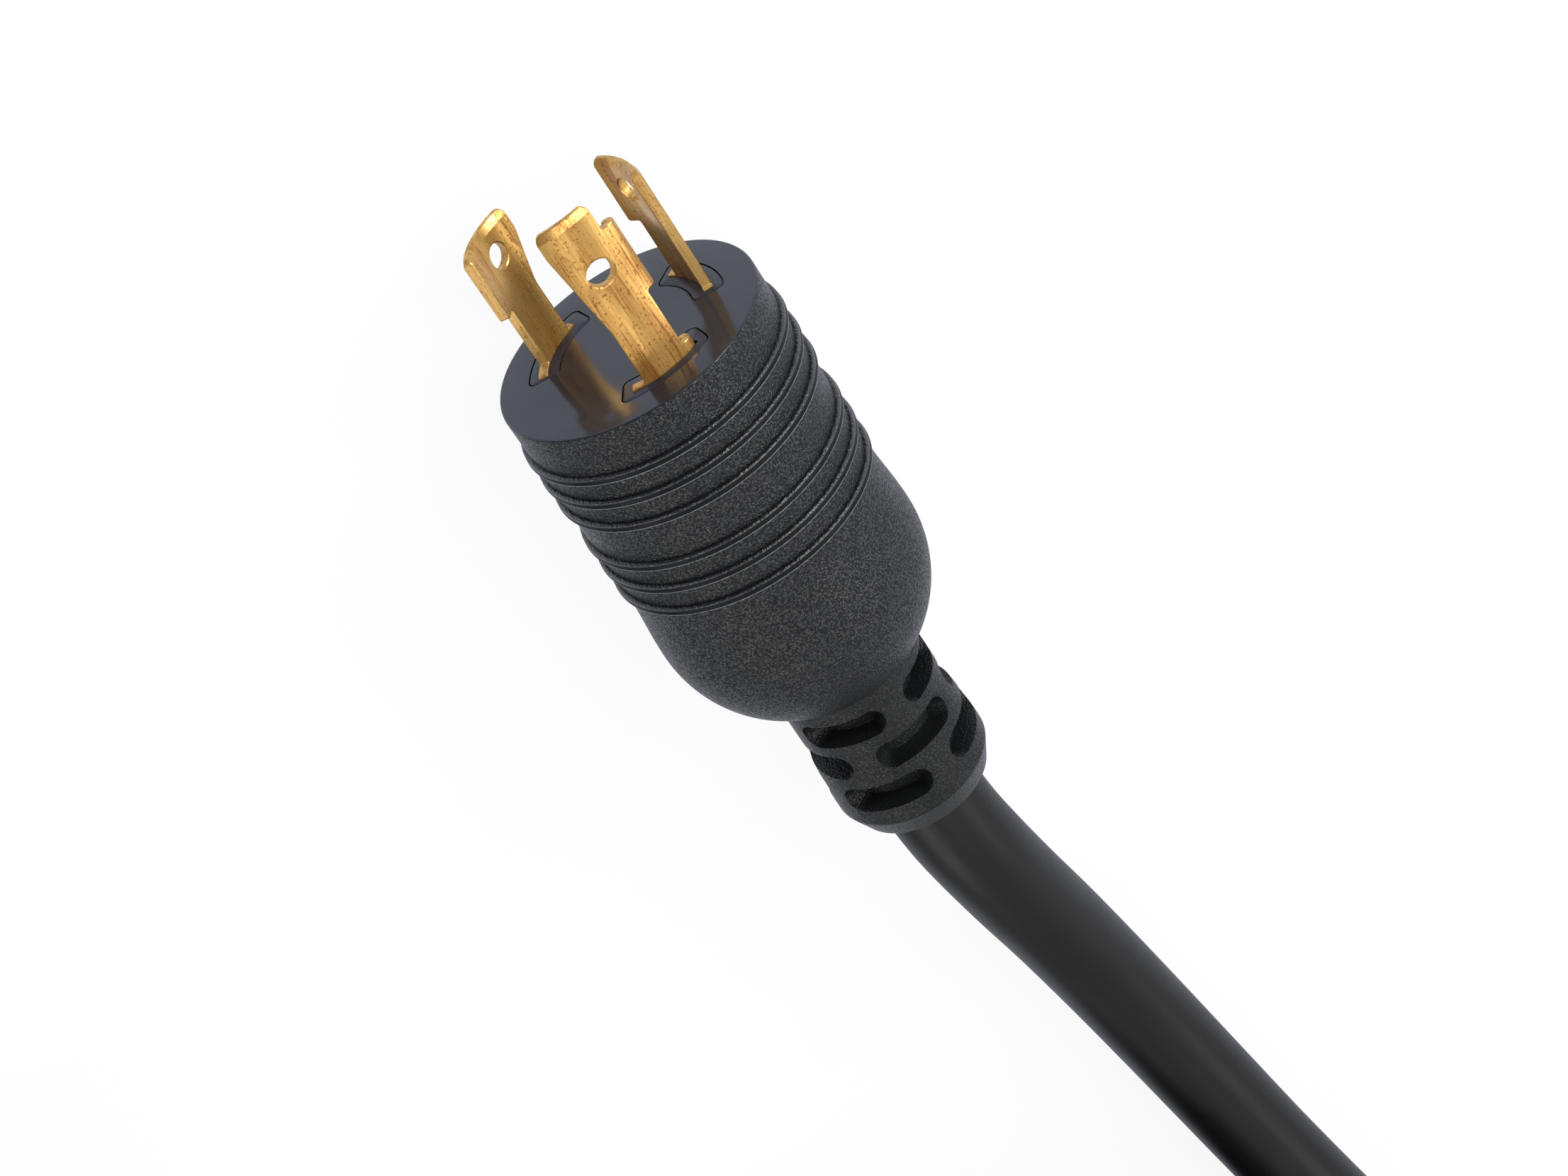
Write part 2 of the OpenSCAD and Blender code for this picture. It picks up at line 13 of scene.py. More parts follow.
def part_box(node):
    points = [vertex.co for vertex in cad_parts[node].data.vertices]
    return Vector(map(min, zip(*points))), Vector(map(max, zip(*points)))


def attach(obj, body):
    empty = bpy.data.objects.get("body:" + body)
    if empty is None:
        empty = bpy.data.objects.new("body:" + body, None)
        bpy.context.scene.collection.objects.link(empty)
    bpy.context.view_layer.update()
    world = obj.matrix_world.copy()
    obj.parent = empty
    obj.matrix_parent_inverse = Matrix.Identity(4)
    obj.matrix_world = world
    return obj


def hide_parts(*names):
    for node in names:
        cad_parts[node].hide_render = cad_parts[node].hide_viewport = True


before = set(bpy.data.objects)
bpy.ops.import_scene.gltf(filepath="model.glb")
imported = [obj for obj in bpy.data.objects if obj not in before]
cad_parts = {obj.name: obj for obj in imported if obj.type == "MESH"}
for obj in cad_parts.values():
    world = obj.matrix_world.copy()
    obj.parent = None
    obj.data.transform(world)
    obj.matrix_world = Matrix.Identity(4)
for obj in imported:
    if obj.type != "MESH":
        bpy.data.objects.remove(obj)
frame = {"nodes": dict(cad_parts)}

# A shore power cord: the locking plug, its slotted boot, the coiled cord and the load end.
# Sizes are in millimetres, except those that Blender or the frame takes in metres.
LOG = logging.getLogger("shore_power_cord")
MM = 0.001
CORD_BODY = "cord"
RING_BODY = "ring"
# Steps round a turned shape.
ROUND = 256
# The attribute that is 1 on a grip ring's rear edge (painted highlight), and has the second value on its
# front.
EDGE_MARK = "edge"
FRONT_MARK = 0.5
# The UV map of the ties.
STRAP_MAP = "strap"
# Where the lamps aim, behind the plug's face.
PLUG_MIDDLE = 50.0
# A corner whose half angle is larger isn't rounded, and a rounding takes at most this share of a side.
NEARLY_STRAIGHT = math.radians(88)
LONGEST_CUT = 0.49
# The part of a unit normal that tells a flat from a wall.
STEEP = 0.5
# The share of a bevel that its middle point steps in.
EASED = 0.3

Flat = tuple[float, float]
Colour = tuple[float, float, float, float]
Piece = bpy.types.Object
Socket = bpy.types.NodeSocket


class Setting(Enum):
    """Kinds of named input on a node tree."""

    OBJECT = "NodeSocketObject"
    MATERIAL = "NodeSocketMaterial"
    COUNT = "NodeSocketInt"
    SIZE = "NodeSocketFloat"
    PLACE = "NodeSocketVector"


class Lead(Enum):
    """The three conductors of the cord, as the CAD nodes name them."""

    LINE = "line"
    NEUTRAL = "neutral"
    GROUND = "ground"


# Helpers for node trees


def rgb(code: str) -> Colour:
    """Turn an sRGB hex code into a linear colour.

    Args:
        code: the colour as #rrggbb.

    Returns:
        Red, green, blue and an alpha of one, linear.
    """
    parts = [int(code[i:i + 2], 16) / 255 for i in (1, 3, 5)]
    linear = [p / 12.92 if p <= 0.04045 else ((p + 0.055) / 1.055) ** 2.4 for p in parts]
    return (linear[0], linear[1], linear[2], 1.0)


def add_node(
    tree: bpy.types.NodeTree, kind: str, inputs: Optional[dict] = None, **settings: object
) -> bpy.types.Node:
    """Add one node with its settings and inputs.

    Args:
        tree: the node tree to add to.
        kind: Blender's name for the node type.
        inputs: input names or indices, each with a value or the output socket to link.
        settings: the node's own properties.

    Returns:
        The new node.
    """
    node = tree.nodes.new(kind)
    for key, value in settings.items():
        setattr(node, key, value)
    feed(node, inputs or {})
    return node


def feed(node: bpy.types.Node, inputs: dict) -> None:
    """Give a node its inputs.

    Args:
        node: the node.
        inputs: input names or indices, each with a value or the output socket to link.
    """
    for key, value in inputs.items():
        if isinstance(value, Socket):
            node.id_data.links.new(value, node.inputs[key])
        else:
            node.inputs[key].default_value = value


def bare_tree(owner: bpy.types.ID) -> bpy.types.NodeTree:
    """Give a material or a world an empty node tree.

    Args:
        owner: the material or the world.

    Returns:
        Its tree.
    """
    owner.use_nodes = True
    owner.node_tree.nodes.clear()
    return owner.node_tree


def new_tree(name: str, inputs: dict[str, Setting]) -> tuple[bpy.types.NodeTree, dict]:
    """Start a geometry node tree with named inputs.

    Args:
        name: the tree's name.
        inputs: the name and kind of each input after the geometry.

    Returns:
        The tree, and the output socket of each input by name.
    """
    tree = bpy.data.node_groups.new(name, "GeometryNodeTree")
    tree.interface.new_socket("Geometry", in_out="INPUT", socket_type="NodeSocketGeometry")
    for label, kind in inputs.items():
        tree.interface.new_socket(label, in_out="INPUT", socket_type=kind.value)
    tree.interface.new_socket("Geometry", in_out="OUTPUT", socket_type="NodeSocketGeometry")
    given = add_node(tree, "NodeGroupInput")
    return tree, {socket.name: socket for socket in given.outputs if socket.name}


def end_tree(tree: bpy.types.NodeTree, shape: Socket, material: Socket) -> None:
    """End a tree in real geometry and a material.

    Args:
        tree: the tree to end.
        shape: the socket with the finished geometry.
        material: the socket with the material.
    """
    real = add_node(tree, "GeometryNodeRealizeInstances", {"Geometry": shape}).outputs[0]
    dressed = add_node(tree, "GeometryNodeSetMaterial", {"Geometry": real, "Material": material})
    add_node(tree, "NodeGroupOutput", {0: dressed.outputs[0]})


def grow(name: str, tree: bpy.types.NodeTree, values: dict, base: Optional[Piece] = None) -> Piece:
    """Run a node tree and keep its result as a plain mesh piece.

    Args:
        name: the new piece's name.
        tree: the geometry node tree.
        values: the value of each named input.
        base: an object that gives the starting geometry, removed afterwards.

    Returns:
        The new piece.
    """
    carrier = base or link(bpy.data.objects.new(name + "_start", bpy.data.meshes.new(name + "_start")))
    modifier = carrier.modifiers.new("grow", "NODES")
    modifier.node_group = tree
    for item in tree.interface.items_tree:
        if item.in_out == "INPUT" and item.name in values:
            modifier[item.identifier] = values[item.name]
    bpy.context.view_layer.update()
    graph = bpy.context.evaluated_depsgraph_get()
    mesh = bpy.data.meshes.new_from_object(carrier.evaluated_get(graph), depsgraph=graph)
    carrier.modifiers.clear()
    bpy.data.objects.remove(carrier)
    mesh.name = name
    return link(bpy.data.objects.new(name, mesh))


def link(piece: Piece) -> Piece:
    """Put a piece in the scene and return it."""
    bpy.context.scene.collection.objects.link(piece)
    return piece


# Helpers for shapes


@dataclass(frozen=True)
class Axis:
    """The axis of a moulded end, which runs along +X from its front face, in metres."""

    x: float = 0.0
    y: float = 0.0
    z: float = 0.0

    @classmethod
    def of(cls, node: str) -> "Axis":
        """Take the axis of a round CAD node from its box."""
        low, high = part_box(node)
        return cls(low.x, (low.y + high.y) / 2, (low.z + high.z) / 2)

    def at(self, s: float, r: float, angle: float) -> Vector:
        """Give the point s behind the face, at radius r and an angle from +Y towards +Z.

        Args:
            s: distance behind the face, in mm.
            r: distance from the axis, in mm.
            angle: the angle in degrees.

        Returns:
            The point, in metres.
        """
        turn = math.radians(angle)
        return Vector(
            (self.x + s * MM, self.y + r * MM * math.cos(turn), self.z + r * MM * math.sin(turn))
        )


def make_piece(name: str, bm: bmesh.types.BMesh, sharp: float = 35.0) -> Piece:
    """Turn a bmesh into a smooth-shaded piece whose faces point outwards.

    Args:
        name: the piece's name.
        bm: the mesh, which is freed.
        sharp: edges at more than this angle stay sharp, in degrees.

    Returns:
        The new piece.
    """
    bmesh.ops.recalc_face_normals(bm, faces=bm.faces)
    mesh = bpy.data.meshes.new(name)
    bm.to_mesh(mesh)
    bm.free()
    mesh.shade_smooth()
    mesh.set_sharp_from_angle(angle=math.radians(sharp))
    return link(bpy.data.objects.new(name, mesh))


def add_grid(
    bm: bmesh.types.BMesh, rows: Sequence[Sequence[Vector]], closed_rows: bool, closed_columns: bool
) -> list[list[bmesh.types.BMVert]]:
    """Add a grid of quads.

    Args:
        bm: the mesh to add to.
        rows: the points, row by row.
        closed_rows: whether each row's end joins its start.
        closed_columns: whether the last row joins the first.

    Returns:
        The grid's vertices, row by row.
    """
    verts = [[bm.verts.new(p) for p in row] for row in rows]
    n, m = len(verts), len(verts[0])
    for i in range(n if closed_columns else n - 1):
        for j in range(m if closed_rows else m - 1):
            a, b = verts[i], verts[(i + 1) % n]
            bm.faces.new((a[j], a[(j + 1) % m], b[(j + 1) % m], b[j]))
    return verts


def add_lathe(
    bm: bmesh.types.BMesh, axis: Axis, profile: Sequence[Flat], closed: bool = False, around: int = ROUND
) -> list[list[bmesh.types.BMVert]]:
    """Turn a profile of distances behind the face and radii, and give each point's ring of vertices."""
    rows = [[axis.at(s, r, 360 * k / around) for k in range(around)] for s, r in profile]
    return add_grid(bm, rows, True, closed)


def rounded(corners: Sequence[tuple[float, float, float]], steps: int = 7) -> list[Flat]:
    """Round the corners of a flat outline.

    Args:
        corners: each corner's two coordinates and its radius, in order round the outline.
        steps: how many points make each rounded corner.

    Returns:
        The outline's points.
    """
    outline: list[Flat] = []
    count = len(corners)
    for i, (x, y, radius) in enumerate(corners):
        here = np.array((x, y))
        back = np.array(corners[i - 1][:2]) - here
        ahead = np.array(corners[(i + 1) % count][:2]) - here
        reach_back, reach_ahead = np.linalg.norm(back), np.linalg.norm(ahead)
        back, ahead = back / reach_back, ahead / reach_ahead
        half = math.acos(float(np.clip(back @ ahead, -1, 1))) / 2
        if radius <= 0 or half > NEARLY_STRAIGHT:
            outline.append((x, y))
            continue
        cut = min(radius / math.tan(half), LONGEST_CUT * reach_back, LONGEST_CUT * reach_ahead)
        radius = cut * math.tan(half)
        middle = here + (back + ahead) / np.linalg.norm(back + ahead) * radius / math.sin(half)
        first, last = here + back * cut - middle, here + ahead * cut - middle
        start = math.atan2(first[1], first[0])
        sweep = (math.atan2(last[1], last[0]) - start + math.pi) % (2 * math.pi) - math.pi
        for k in range(steps + 1):
            turn = start + sweep * k / steps
            outline.append((middle[0] + radius * math.cos(turn), middle[1] + radius * math.sin(turn)))
    return outline


def inset(outline: Sequence[Flat], depth: float) -> list[Flat]:
    """Move a flat outline inwards.

    Args:
        outline: the outline's points, counterclockwise.
        depth: how far each side moves in; a negative depth moves it out.

    Returns:
        As many points as the outline has.
    """
    points = np.array(outline)
    before = points - np.roll(points, 1, axis=0)
    after = np.roll(points, -1, axis=0) - points
    before /= np.linalg.norm(before, axis=1)[:, None]
    after /= np.linalg.norm(after, axis=1)[:, None]
    left_before = np.stack((-before[:, 1], before[:, 0]), axis=1)
    left_after = np.stack((-after[:, 1], after[:, 0]), axis=1)
    both = left_before + left_after
    both /= np.maximum(1e-9, (both * left_before).sum(axis=1))[:, None]
    return [(float(x), float(y)) for x, y in points + both * depth]


def refined(loop: Sequence[Flat], step: float = 0.5) -> list[Flat]:
    """Add points to a closed outline, so that its sides can be bent.

    Args:
        loop: the outline's points.
        step: about how far apart the new points are in the first coordinate.

    Returns:
        The outline with its new points.
    """
    fine: list[Flat] = []
    for (x0, y0), (x1, y1) in zip(loop, loop[1:] + loop[:1]):
        parts = max(1, round(abs(x1 - x0) / step))
        fine += [(x0 + (x1 - x0) * k / parts, y0 + (y1 - y0) * k / parts) for k in range(parts)]
    return fine


def quarter(steps: int) -> list[Flat]:
    """Give the sine and cosine at even steps through a quarter turn."""
    turns = [math.pi / 2 * k / steps for k in range(steps + 1)]
    return [(math.sin(turn), math.cos(turn)) for turn in turns]


def turn_of(a: Flat, b: Flat, c: Flat) -> float:
    """Give a number above 0 when the way from a over b to c turns left, and below 0 when right."""
    return (b[0] - a[0]) * (c[1] - a[1]) - (b[1] - a[1]) * (c[0] - a[0])


def circle(x: float, y: float, r: float, count: int) -> list[Flat]:
    """Give a circle's points, counterclockwise."""
    turns = [2 * math.pi * k / count for k in range(count)]
    return [(x + r * math.cos(t), y + r * math.sin(t)) for t in turns]


def add_loop(bm: bmesh.types.BMesh, points: Sequence[Vector]) -> tuple[list, list]:
    """Add a closed loop of points.

    Args:
        bm: the mesh to add to.
        points: the loop's points.

    Returns:
        The loop's vertices and its edges.
    """
    verts = [bm.verts.new(p) for p in points]
    edges = [bm.edges.new((verts[i - 1], verts[i])) for i in range(len(verts))]
    return verts, edges


def add_band(bm: bmesh.types.BMesh, first: Sequence, second: Sequence) -> None:
    """Join two loops of as many vertices with quads."""
    for i in range(len(first)):
        bm.faces.new((first[i - 1], first[i], second[i], second[i - 1]))


def ease(x: float) -> float:
    """Go from 0 to 1 with level ends."""
    x = min(1.0, max(0.0, x))
    return x * x * (3 - 2 * x)


def spline(points: np.ndarray, step: float) -> np.ndarray:
    """Run a smooth line through points, at about even steps.

    Args:
        points: the points, of which the first and last only set the end directions.
        step: the distance between the new points, in the points' own unit.

    Returns:
        The new points, from the second to the last but one of those given.
    """
    line = []
    for p0, p1, p2, p3 in zip(points, points[1:], points[2:], points[3:]):
        knots = [0.0]
        for a, b in ((p0, p1), (p1, p2), (p2, p3)):
            knots.append(knots[-1] + max(1e-6, np.linalg.norm(b - a)) ** 0.5)
        t0, t1, t2, t3 = knots
        for t in np.linspace(t1, t2, max(2, round(np.linalg.norm(p2 - p1) / step)), endpoint=False):
            a1 = (t1 - t) / (t1 - t0) * p0 + (t - t0) / (t1 - t0) * p1
            a2 = (t2 - t) / (t2 - t1) * p1 + (t - t1) / (t2 - t1) * p2
            a3 = (t3 - t) / (t3 - t2) * p2 + (t - t2) / (t3 - t2) * p3
            b1 = (t2 - t) / (t2 - t0) * a1 + (t - t0) / (t2 - t0) * a2
            b2 = (t3 - t) / (t3 - t1) * a2 + (t - t1) / (t3 - t1) * a3
            line.append((t2 - t) / (t2 - t1) * b1 + (t - t1) / (t2 - t1) * b2)
    line.append(points[-2])
    return np.array(line)


# Finishes


@dataclass(frozen=True)
class Look:
    """A material in the making: its node tree, its shader and the Object coordinates, in metres."""

    tree: bpy.types.NodeTree
    shader: bpy.types.Node
    place: Socket

    def add(self, kind: str, inputs: dict, output: object = 0, **settings: object) -> Socket:
        """Add one node to the material and give one of its outputs, by name or index."""
        return add_node(self.tree, kind, inputs, **settings).outputs[output]

    def marks(self, size: float, detail: float, roughness: float, place: Optional[Socket] = None) -> dict:
        """Work out a noise's inputs from the size of its largest marks, in mm, and its finer layers."""
        inputs = {"Vector": place or self.place, "Scale": 1 / (size * MM)}
        return {**inputs, "Detail": detail, "Roughness": roughness}

    def vary(self, socket: str, factor: Socket, low: object, high: object) -> None:
        """Run one of the shader's inputs between two values by a factor.

        Args:
            socket: the shader's input.
            factor: what runs it, from 0 to 1.
            low: the value at 0: a number, or a colour's hex code.
            high: the value at 1.
        """
        if isinstance(low, str):
            ends = {0: factor, 6: rgb(low), 7: rgb(high)}
            run = self.add("ShaderNodeMix", ends, 2, data_type="RGBA")
        else:
            run = self.add("ShaderNodeMapRange", {"Value": factor, "To Min": low, "To Max": high})
        feed(self.shader, {socket: run})


@dataclass(frozen=True)
class Finish:
    """A finish: a named material that is made on its first use."""

    name: str
    colour: str

    def material(self) -> bpy.types.Material:
        """Make the finish's material, or find it when it is made already.

        Returns:
            The material.
        """
        known = bpy.data.materials.get(self.name)
        if known:
            return known
        made = bpy.data.materials.new(self.name)
        tree = bare_tree(made)
        shader = add_node(tree, "ShaderNodeBsdfPrincipled", {"Base Color": rgb(self.colour)})
        add_node(tree, "ShaderNodeOutputMaterial", {"Surface": shader.outputs[0]})
        self.dress(Look(tree, shader, add_node(tree, "ShaderNodeTexCoord").outputs["Object"]))
        made.diffuse_color = rgb(self.colour)
        return made

    def dress(self, look: Look) -> None:
        """Add what the finish shows to its shader."""
        raise NotImplementedError

    def on(self, piece: Piece, second: Optional["Finish"] = None) -> None:
        """Give a piece this finish, and a second one on the faces that its mesh sets aside for it.

        Clearing a mesh's materials makes it forget those faces, so a mesh without any isn't cleared.

        Args:
            piece: the piece to dress.
            second: the second finish, if there is one.
        """
        if piece.data.materials:
            piece.data.materials.clear()
        piece.data.materials.append(self.material())
        if second:
            piece.data.materials.append(second.material())


@dataclass(frozen=True)
class MouldedRubber(Finish):
    """Neoprene moulded in a textured die: a leather grain that scatters the light, and faint bloom."""

    bloom: str = "#2c2d2f"
    bloom_size: float = 11.0
    grain: float = 0.35
    depth: float = 0.16
    pit: float = -0.8
    top: float = 0.4
    shine: Flat = (0.16, 0.78)
    rough: Flat = (0.44, 0.26)

    def dress(self, look: Look) -> None:
        """Add the die's grain, drawn a little coarse so that it shows, and the bloom.

        Args:
            look: the material in the making.
        """
        # The real grain is finer, and is drawn a little coarse so that it shows.
        grains = {"Vector": look.place, "Scale": 1 / (self.grain * MM), "Smoothness": 0.5}
        cells = look.add("ShaderNodeTexVoronoi", grains, "Distance", feature="SMOOTH_F1")
        crumbs = look.add("ShaderNodeTexNoise", look.marks(self.grain, 2.0, 0.5))
        height = look.add(
            "ShaderNodeMath", {0: cells, 1: self.pit, 2: crumbs}, operation="MULTIPLY_ADD"
        )
        raised = look.add("ShaderNodeBump", {"Distance": self.depth * MM, "Height": height})
        tops = look.add("ShaderNodeMapRange", {"Value": height, "From Max": self.top})
        bloom = look.add("ShaderNodeTexNoise", look.marks(self.bloom_size, 6.0, 0.65))
        look.vary("Base Color", bloom, self.colour, self.bloom)
        look.vary("Roughness", tops, *self.rough)
        look.vary("Specular IOR Level", tops, *self.shine)
        feed(look.shader, {"Normal": raised})


@dataclass(frozen=True)
class SatinMoulding(Finish):
    """Thermoplastic moulded in a polished die: smooth, with fine dust and a slight unevenness."""

    dust: str = "#30343b"
    rough: Flat = (0.14, 0.24)
    shine: float = 0.45
    tint: str = "#ffffff"
    dust_size: float = 3.8
    wave_size: float = 1.1
    wave: float = 0.012

    def dress(self, look: Look) -> None:
        """Add the dust and the unevenness.

        Args:
            look: the material in the making.
        """
        dust = look.add("ShaderNodeTexNoise", look.marks(self.dust_size, 8.0, 0.7))
        swirl = look.add("ShaderNodeTexNoise", look.marks(self.wave_size, 2.0, 0.5))
        raised = look.add("ShaderNodeBump", {"Distance": self.wave * MM, "Height": swirl})
        look.vary("Base Color", dust, self.colour, self.dust)
        look.vary("Roughness", dust, *self.rough)
        fixed = {"Specular IOR Level": self.shine, "Specular Tint": rgb(self.tint)}
        feed(look.shader, {**fixed, "Normal": raised})


@dataclass(frozen=True)
class RingRubber(Finish):
    """Grip ring rubber: smooth and dark, grained on the front, with a painted highlight on the rear edge.
    """

    edge_highlight: str = "#6f7174"
    rough: Flat = (0.42, 0.32)
    shine: Flat = (0.1, 0.85)
    highlight_break_size: float = 0.7
    highlight_break_span: Flat = (0.3, 0.6)
    least_highlight: float = 0.25
    grain: float = 0.5
    depth: float = 0.3

    def dress(self, look: Look) -> None:
        """Add the grained front, and the painted highlight on the rear edge that the edge attribute marks.

        Args:
            look: the material in the making.
        """
        mark = look.add("ShaderNodeAttribute", {}, "Fac", attribute_name=EDGE_MARK)
        highlight_breaks = look.add("ShaderNodeTexNoise", look.marks(self.highlight_break_size, 3.0, 0.6))
        faint_at, full_at = self.highlight_break_span
        uneven = look.add(
            "ShaderNodeMapRange",
            {"Value": highlight_breaks, "From Min": faint_at, "From Max": full_at, "To Min": self.least_highlight},
        )
        # The rear edge is painted lighter: a painted highlight, broken up by noise, stands in for light the
        # edge catches.
        edge = look.add("ShaderNodeMapRange", {"Value": mark, "From Min": FRONT_MARK})
        edge_light = look.add("ShaderNodeMath", {0: edge, 1: uneven}, operation="MULTIPLY")
        lit = look.add("ShaderNodeMapRange", {"Value": mark, "From Max": FRONT_MARK})
        pebbles = look.add("ShaderNodeTexNoise", look.marks(self.grain, 2.0, 0.5))
        height = look.add("ShaderNodeMath", {0: lit, 1: pebbles}, operation="MULTIPLY")
        raised = look.add("ShaderNodeBump", {"Distance": self.depth * MM, "Height": height})
        look.vary("Base Color", edge_light, self.colour, self.edge_highlight)
        look.vary("Roughness", lit, *self.rough)
        look.vary("Specular IOR Level", lit, *self.shine)
        feed(look.shader, {"Normal": raised})


@dataclass(frozen=True)
class DrawnBrass(Finish):
    """Rolled brass, punched and bent: drawn streaks, slow patches and fine specks of tarnish.

    A finish with a root_x also darkens towards that X, where a blade leaves the plug's face.
    """

    tarnish: str = "#85500f"
    rough: Flat = (0.25, 0.44)
    streak: float = 0.26
    streak_draw: float = 0.035
    patch: float = 2.8
    patch_draw: float = 0.2
    speck: float = 0.42
    bright_to_dark: Flat = (0.38, 1.5)
    film: Flat = (0.88, 0.42)
    scratch: float = 0.012
    root_x: Optional[float] = None
    root_reach: float = 12.0
    root_dark: float = 0.22

    def dress(self, look: Look) -> None:
        """Add the streaks, the patches, the specks, the scratches and the darker root.

        Args:
            look: the material in the making.
        """
        drawn, spread = (
            look.add("ShaderNodeMapping", {"Vector": look.place, "Scale": (draw, 1.0, 1.0)})
            for draw in (self.streak_draw, self.patch_draw)
        )
        streaks = look.add("ShaderNodeTexNoise", look.marks(self.streak, 3.0, 0.6, drawn))
        patches = look.add("ShaderNodeTexNoise", look.marks(self.patch, 4.0, 0.55, spread))
        specks = look.add("ShaderNodeTexNoise", look.marks(self.speck, 2.0, 0.5))
        # Each kind of mark darkens the brass by a share where its noise passes through a span.
        shades = [
            (patches, 0.42, 0.66, 0.6),
            (streaks, 0.58, 0.7, 0.45),
            (specks, 0.58, 0.7, 0.7),
        ]
        if self.root_x is not None:
            x = look.add("ShaderNodeSeparateXYZ", {"Vector": look.place}, "X")
            shades.append((x, self.root_x - self.root_reach * MM, self.root_x, self.root_dark))
        level = streaks
        for marks, low, high, share in shades:
            span = {"Value": marks, "From Min": low, "From Max": high, "To Max": share}
            shade = look.add("ShaderNodeMapRange", span)
            level = look.add("ShaderNodeMath", {0: level, 1: shade}, operation="ADD")
        bright, dark = self.bright_to_dark
        level = look.add(
            "ShaderNodeMapRange", {"Value": level, "From Min": bright, "From Max": dark}
        )
        raised = look.add("ShaderNodeBump", {"Distance": self.scratch * MM, "Height": streaks})
        look.vary("Base Color", level, self.colour, self.tarnish)
        look.vary("Roughness", level, *self.rough)
        look.vary("Metallic", level, *self.film)
        feed(look.shader, {"Normal": raised})


@dataclass(frozen=True)
class StrandedCopper(Finish):
    """Bare copper strands: a fine twist, bright and a little oxidised."""

    oxide: str = "#6d3517"
    oxide_size: float = 2.5
    strand: float = 0.6
    bands: float = 0.5
    groove: float = 0.08
    lay: tuple[float, float, float] = (0.0, 0.5, 0.5)
    rough: Flat = (0.25, 0.45)

    def dress(self, look: Look) -> None:
        """Add the strands and the oxide.

        Args:
            look: the material in the making.
        """
        lay = look.add("ShaderNodeMapping", {"Vector": look.place, "Rotation": self.lay})
        twist = {"Vector": lay, "Scale": self.bands / (self.strand * MM), "Distortion": 0.6, "Detail": 1.0}
        strands = look.add("ShaderNodeTexWave", twist, "Fac", bands_direction="Y")
        oxide = look.add("ShaderNodeTexNoise", look.marks(self.oxide_size, 5.0, 0.5))
        raised = look.add("ShaderNodeBump", {"Distance": self.groove * MM, "Height": strands})
        look.vary("Base Color", oxide, self.colour, self.oxide)
        look.vary("Roughness", oxide, *self.rough)
        feed(look.shader, {"Metallic": 1.0, "Normal": raised})


@dataclass(frozen=True)
class ExtrudedJacket(Finish):
    """Extruded PVC or rubber: smooth satin, faintly uneven, with handling marks."""

    scuff: str = "#2b2a29"
    scuff_size: float = 7.0
    skin_size: float = 0.7
    skin: float = 0.012
    rough: Flat = (0.38, 0.5)
    shine: float = 0.35

    def dress(self, look: Look) -> None:
        """Add the handling marks and the faint unevenness.

        Args:
            look: the material in the making.
        """
        scuffs = look.add("ShaderNodeTexNoise", look.marks(self.scuff_size, 7.0, 0.7))
        skin = look.add("ShaderNodeTexNoise", look.marks(self.skin_size, 3.0, 0.6))
        raised = look.add("ShaderNodeBump", {"Distance": self.skin * MM, "Height": skin})
        look.vary("Base Color", scuffs, self.colour, self.scuff)
        look.vary("Roughness", scuffs, *self.rough)
        feed(look.shader, {"Specular IOR Level": self.shine, "Normal": raised})


@dataclass(frozen=True)
class WovenStrap(Finish):
    """Hook-and-loop webbing: a plain weave of nylon with a soft sheen."""

    weft: str = "#3a3b40"
    thread: float = 0.9
    bands: float = 0.32
    depth: float = 0.25

    def dress(self, look: Look) -> None:
        """Add the weave, which follows the strap's own UV map in metres.

        Args:
            look: the material in the making.
        """
        flat = look.add("ShaderNodeUVMap", {}, uv_map=STRAP_MAP)
        waves = {"Vector": flat, "Scale": self.bands / (self.thread * MM), "Distortion": 0.3, "Detail": 1.0}
        warp, weft = (
            look.add("ShaderNodeTexWave", waves, "Fac", bands_direction=way) for way in ("X", "Y")
        )
        weave = look.add("ShaderNodeMath", {0: warp, 1: weft}, operation="MULTIPLY")
        raised = look.add("ShaderNodeBump", {"Distance": self.depth * MM, "Height": weave})
        look.vary("Base Color", weave, self.colour, self.weft)
        fixed = {"Roughness": 0.75, "Specular IOR Level": 0.3, "Sheen Weight": 0.25}
        feed(look.shader, {**fixed, "Normal": raised})


# The plug and the load end


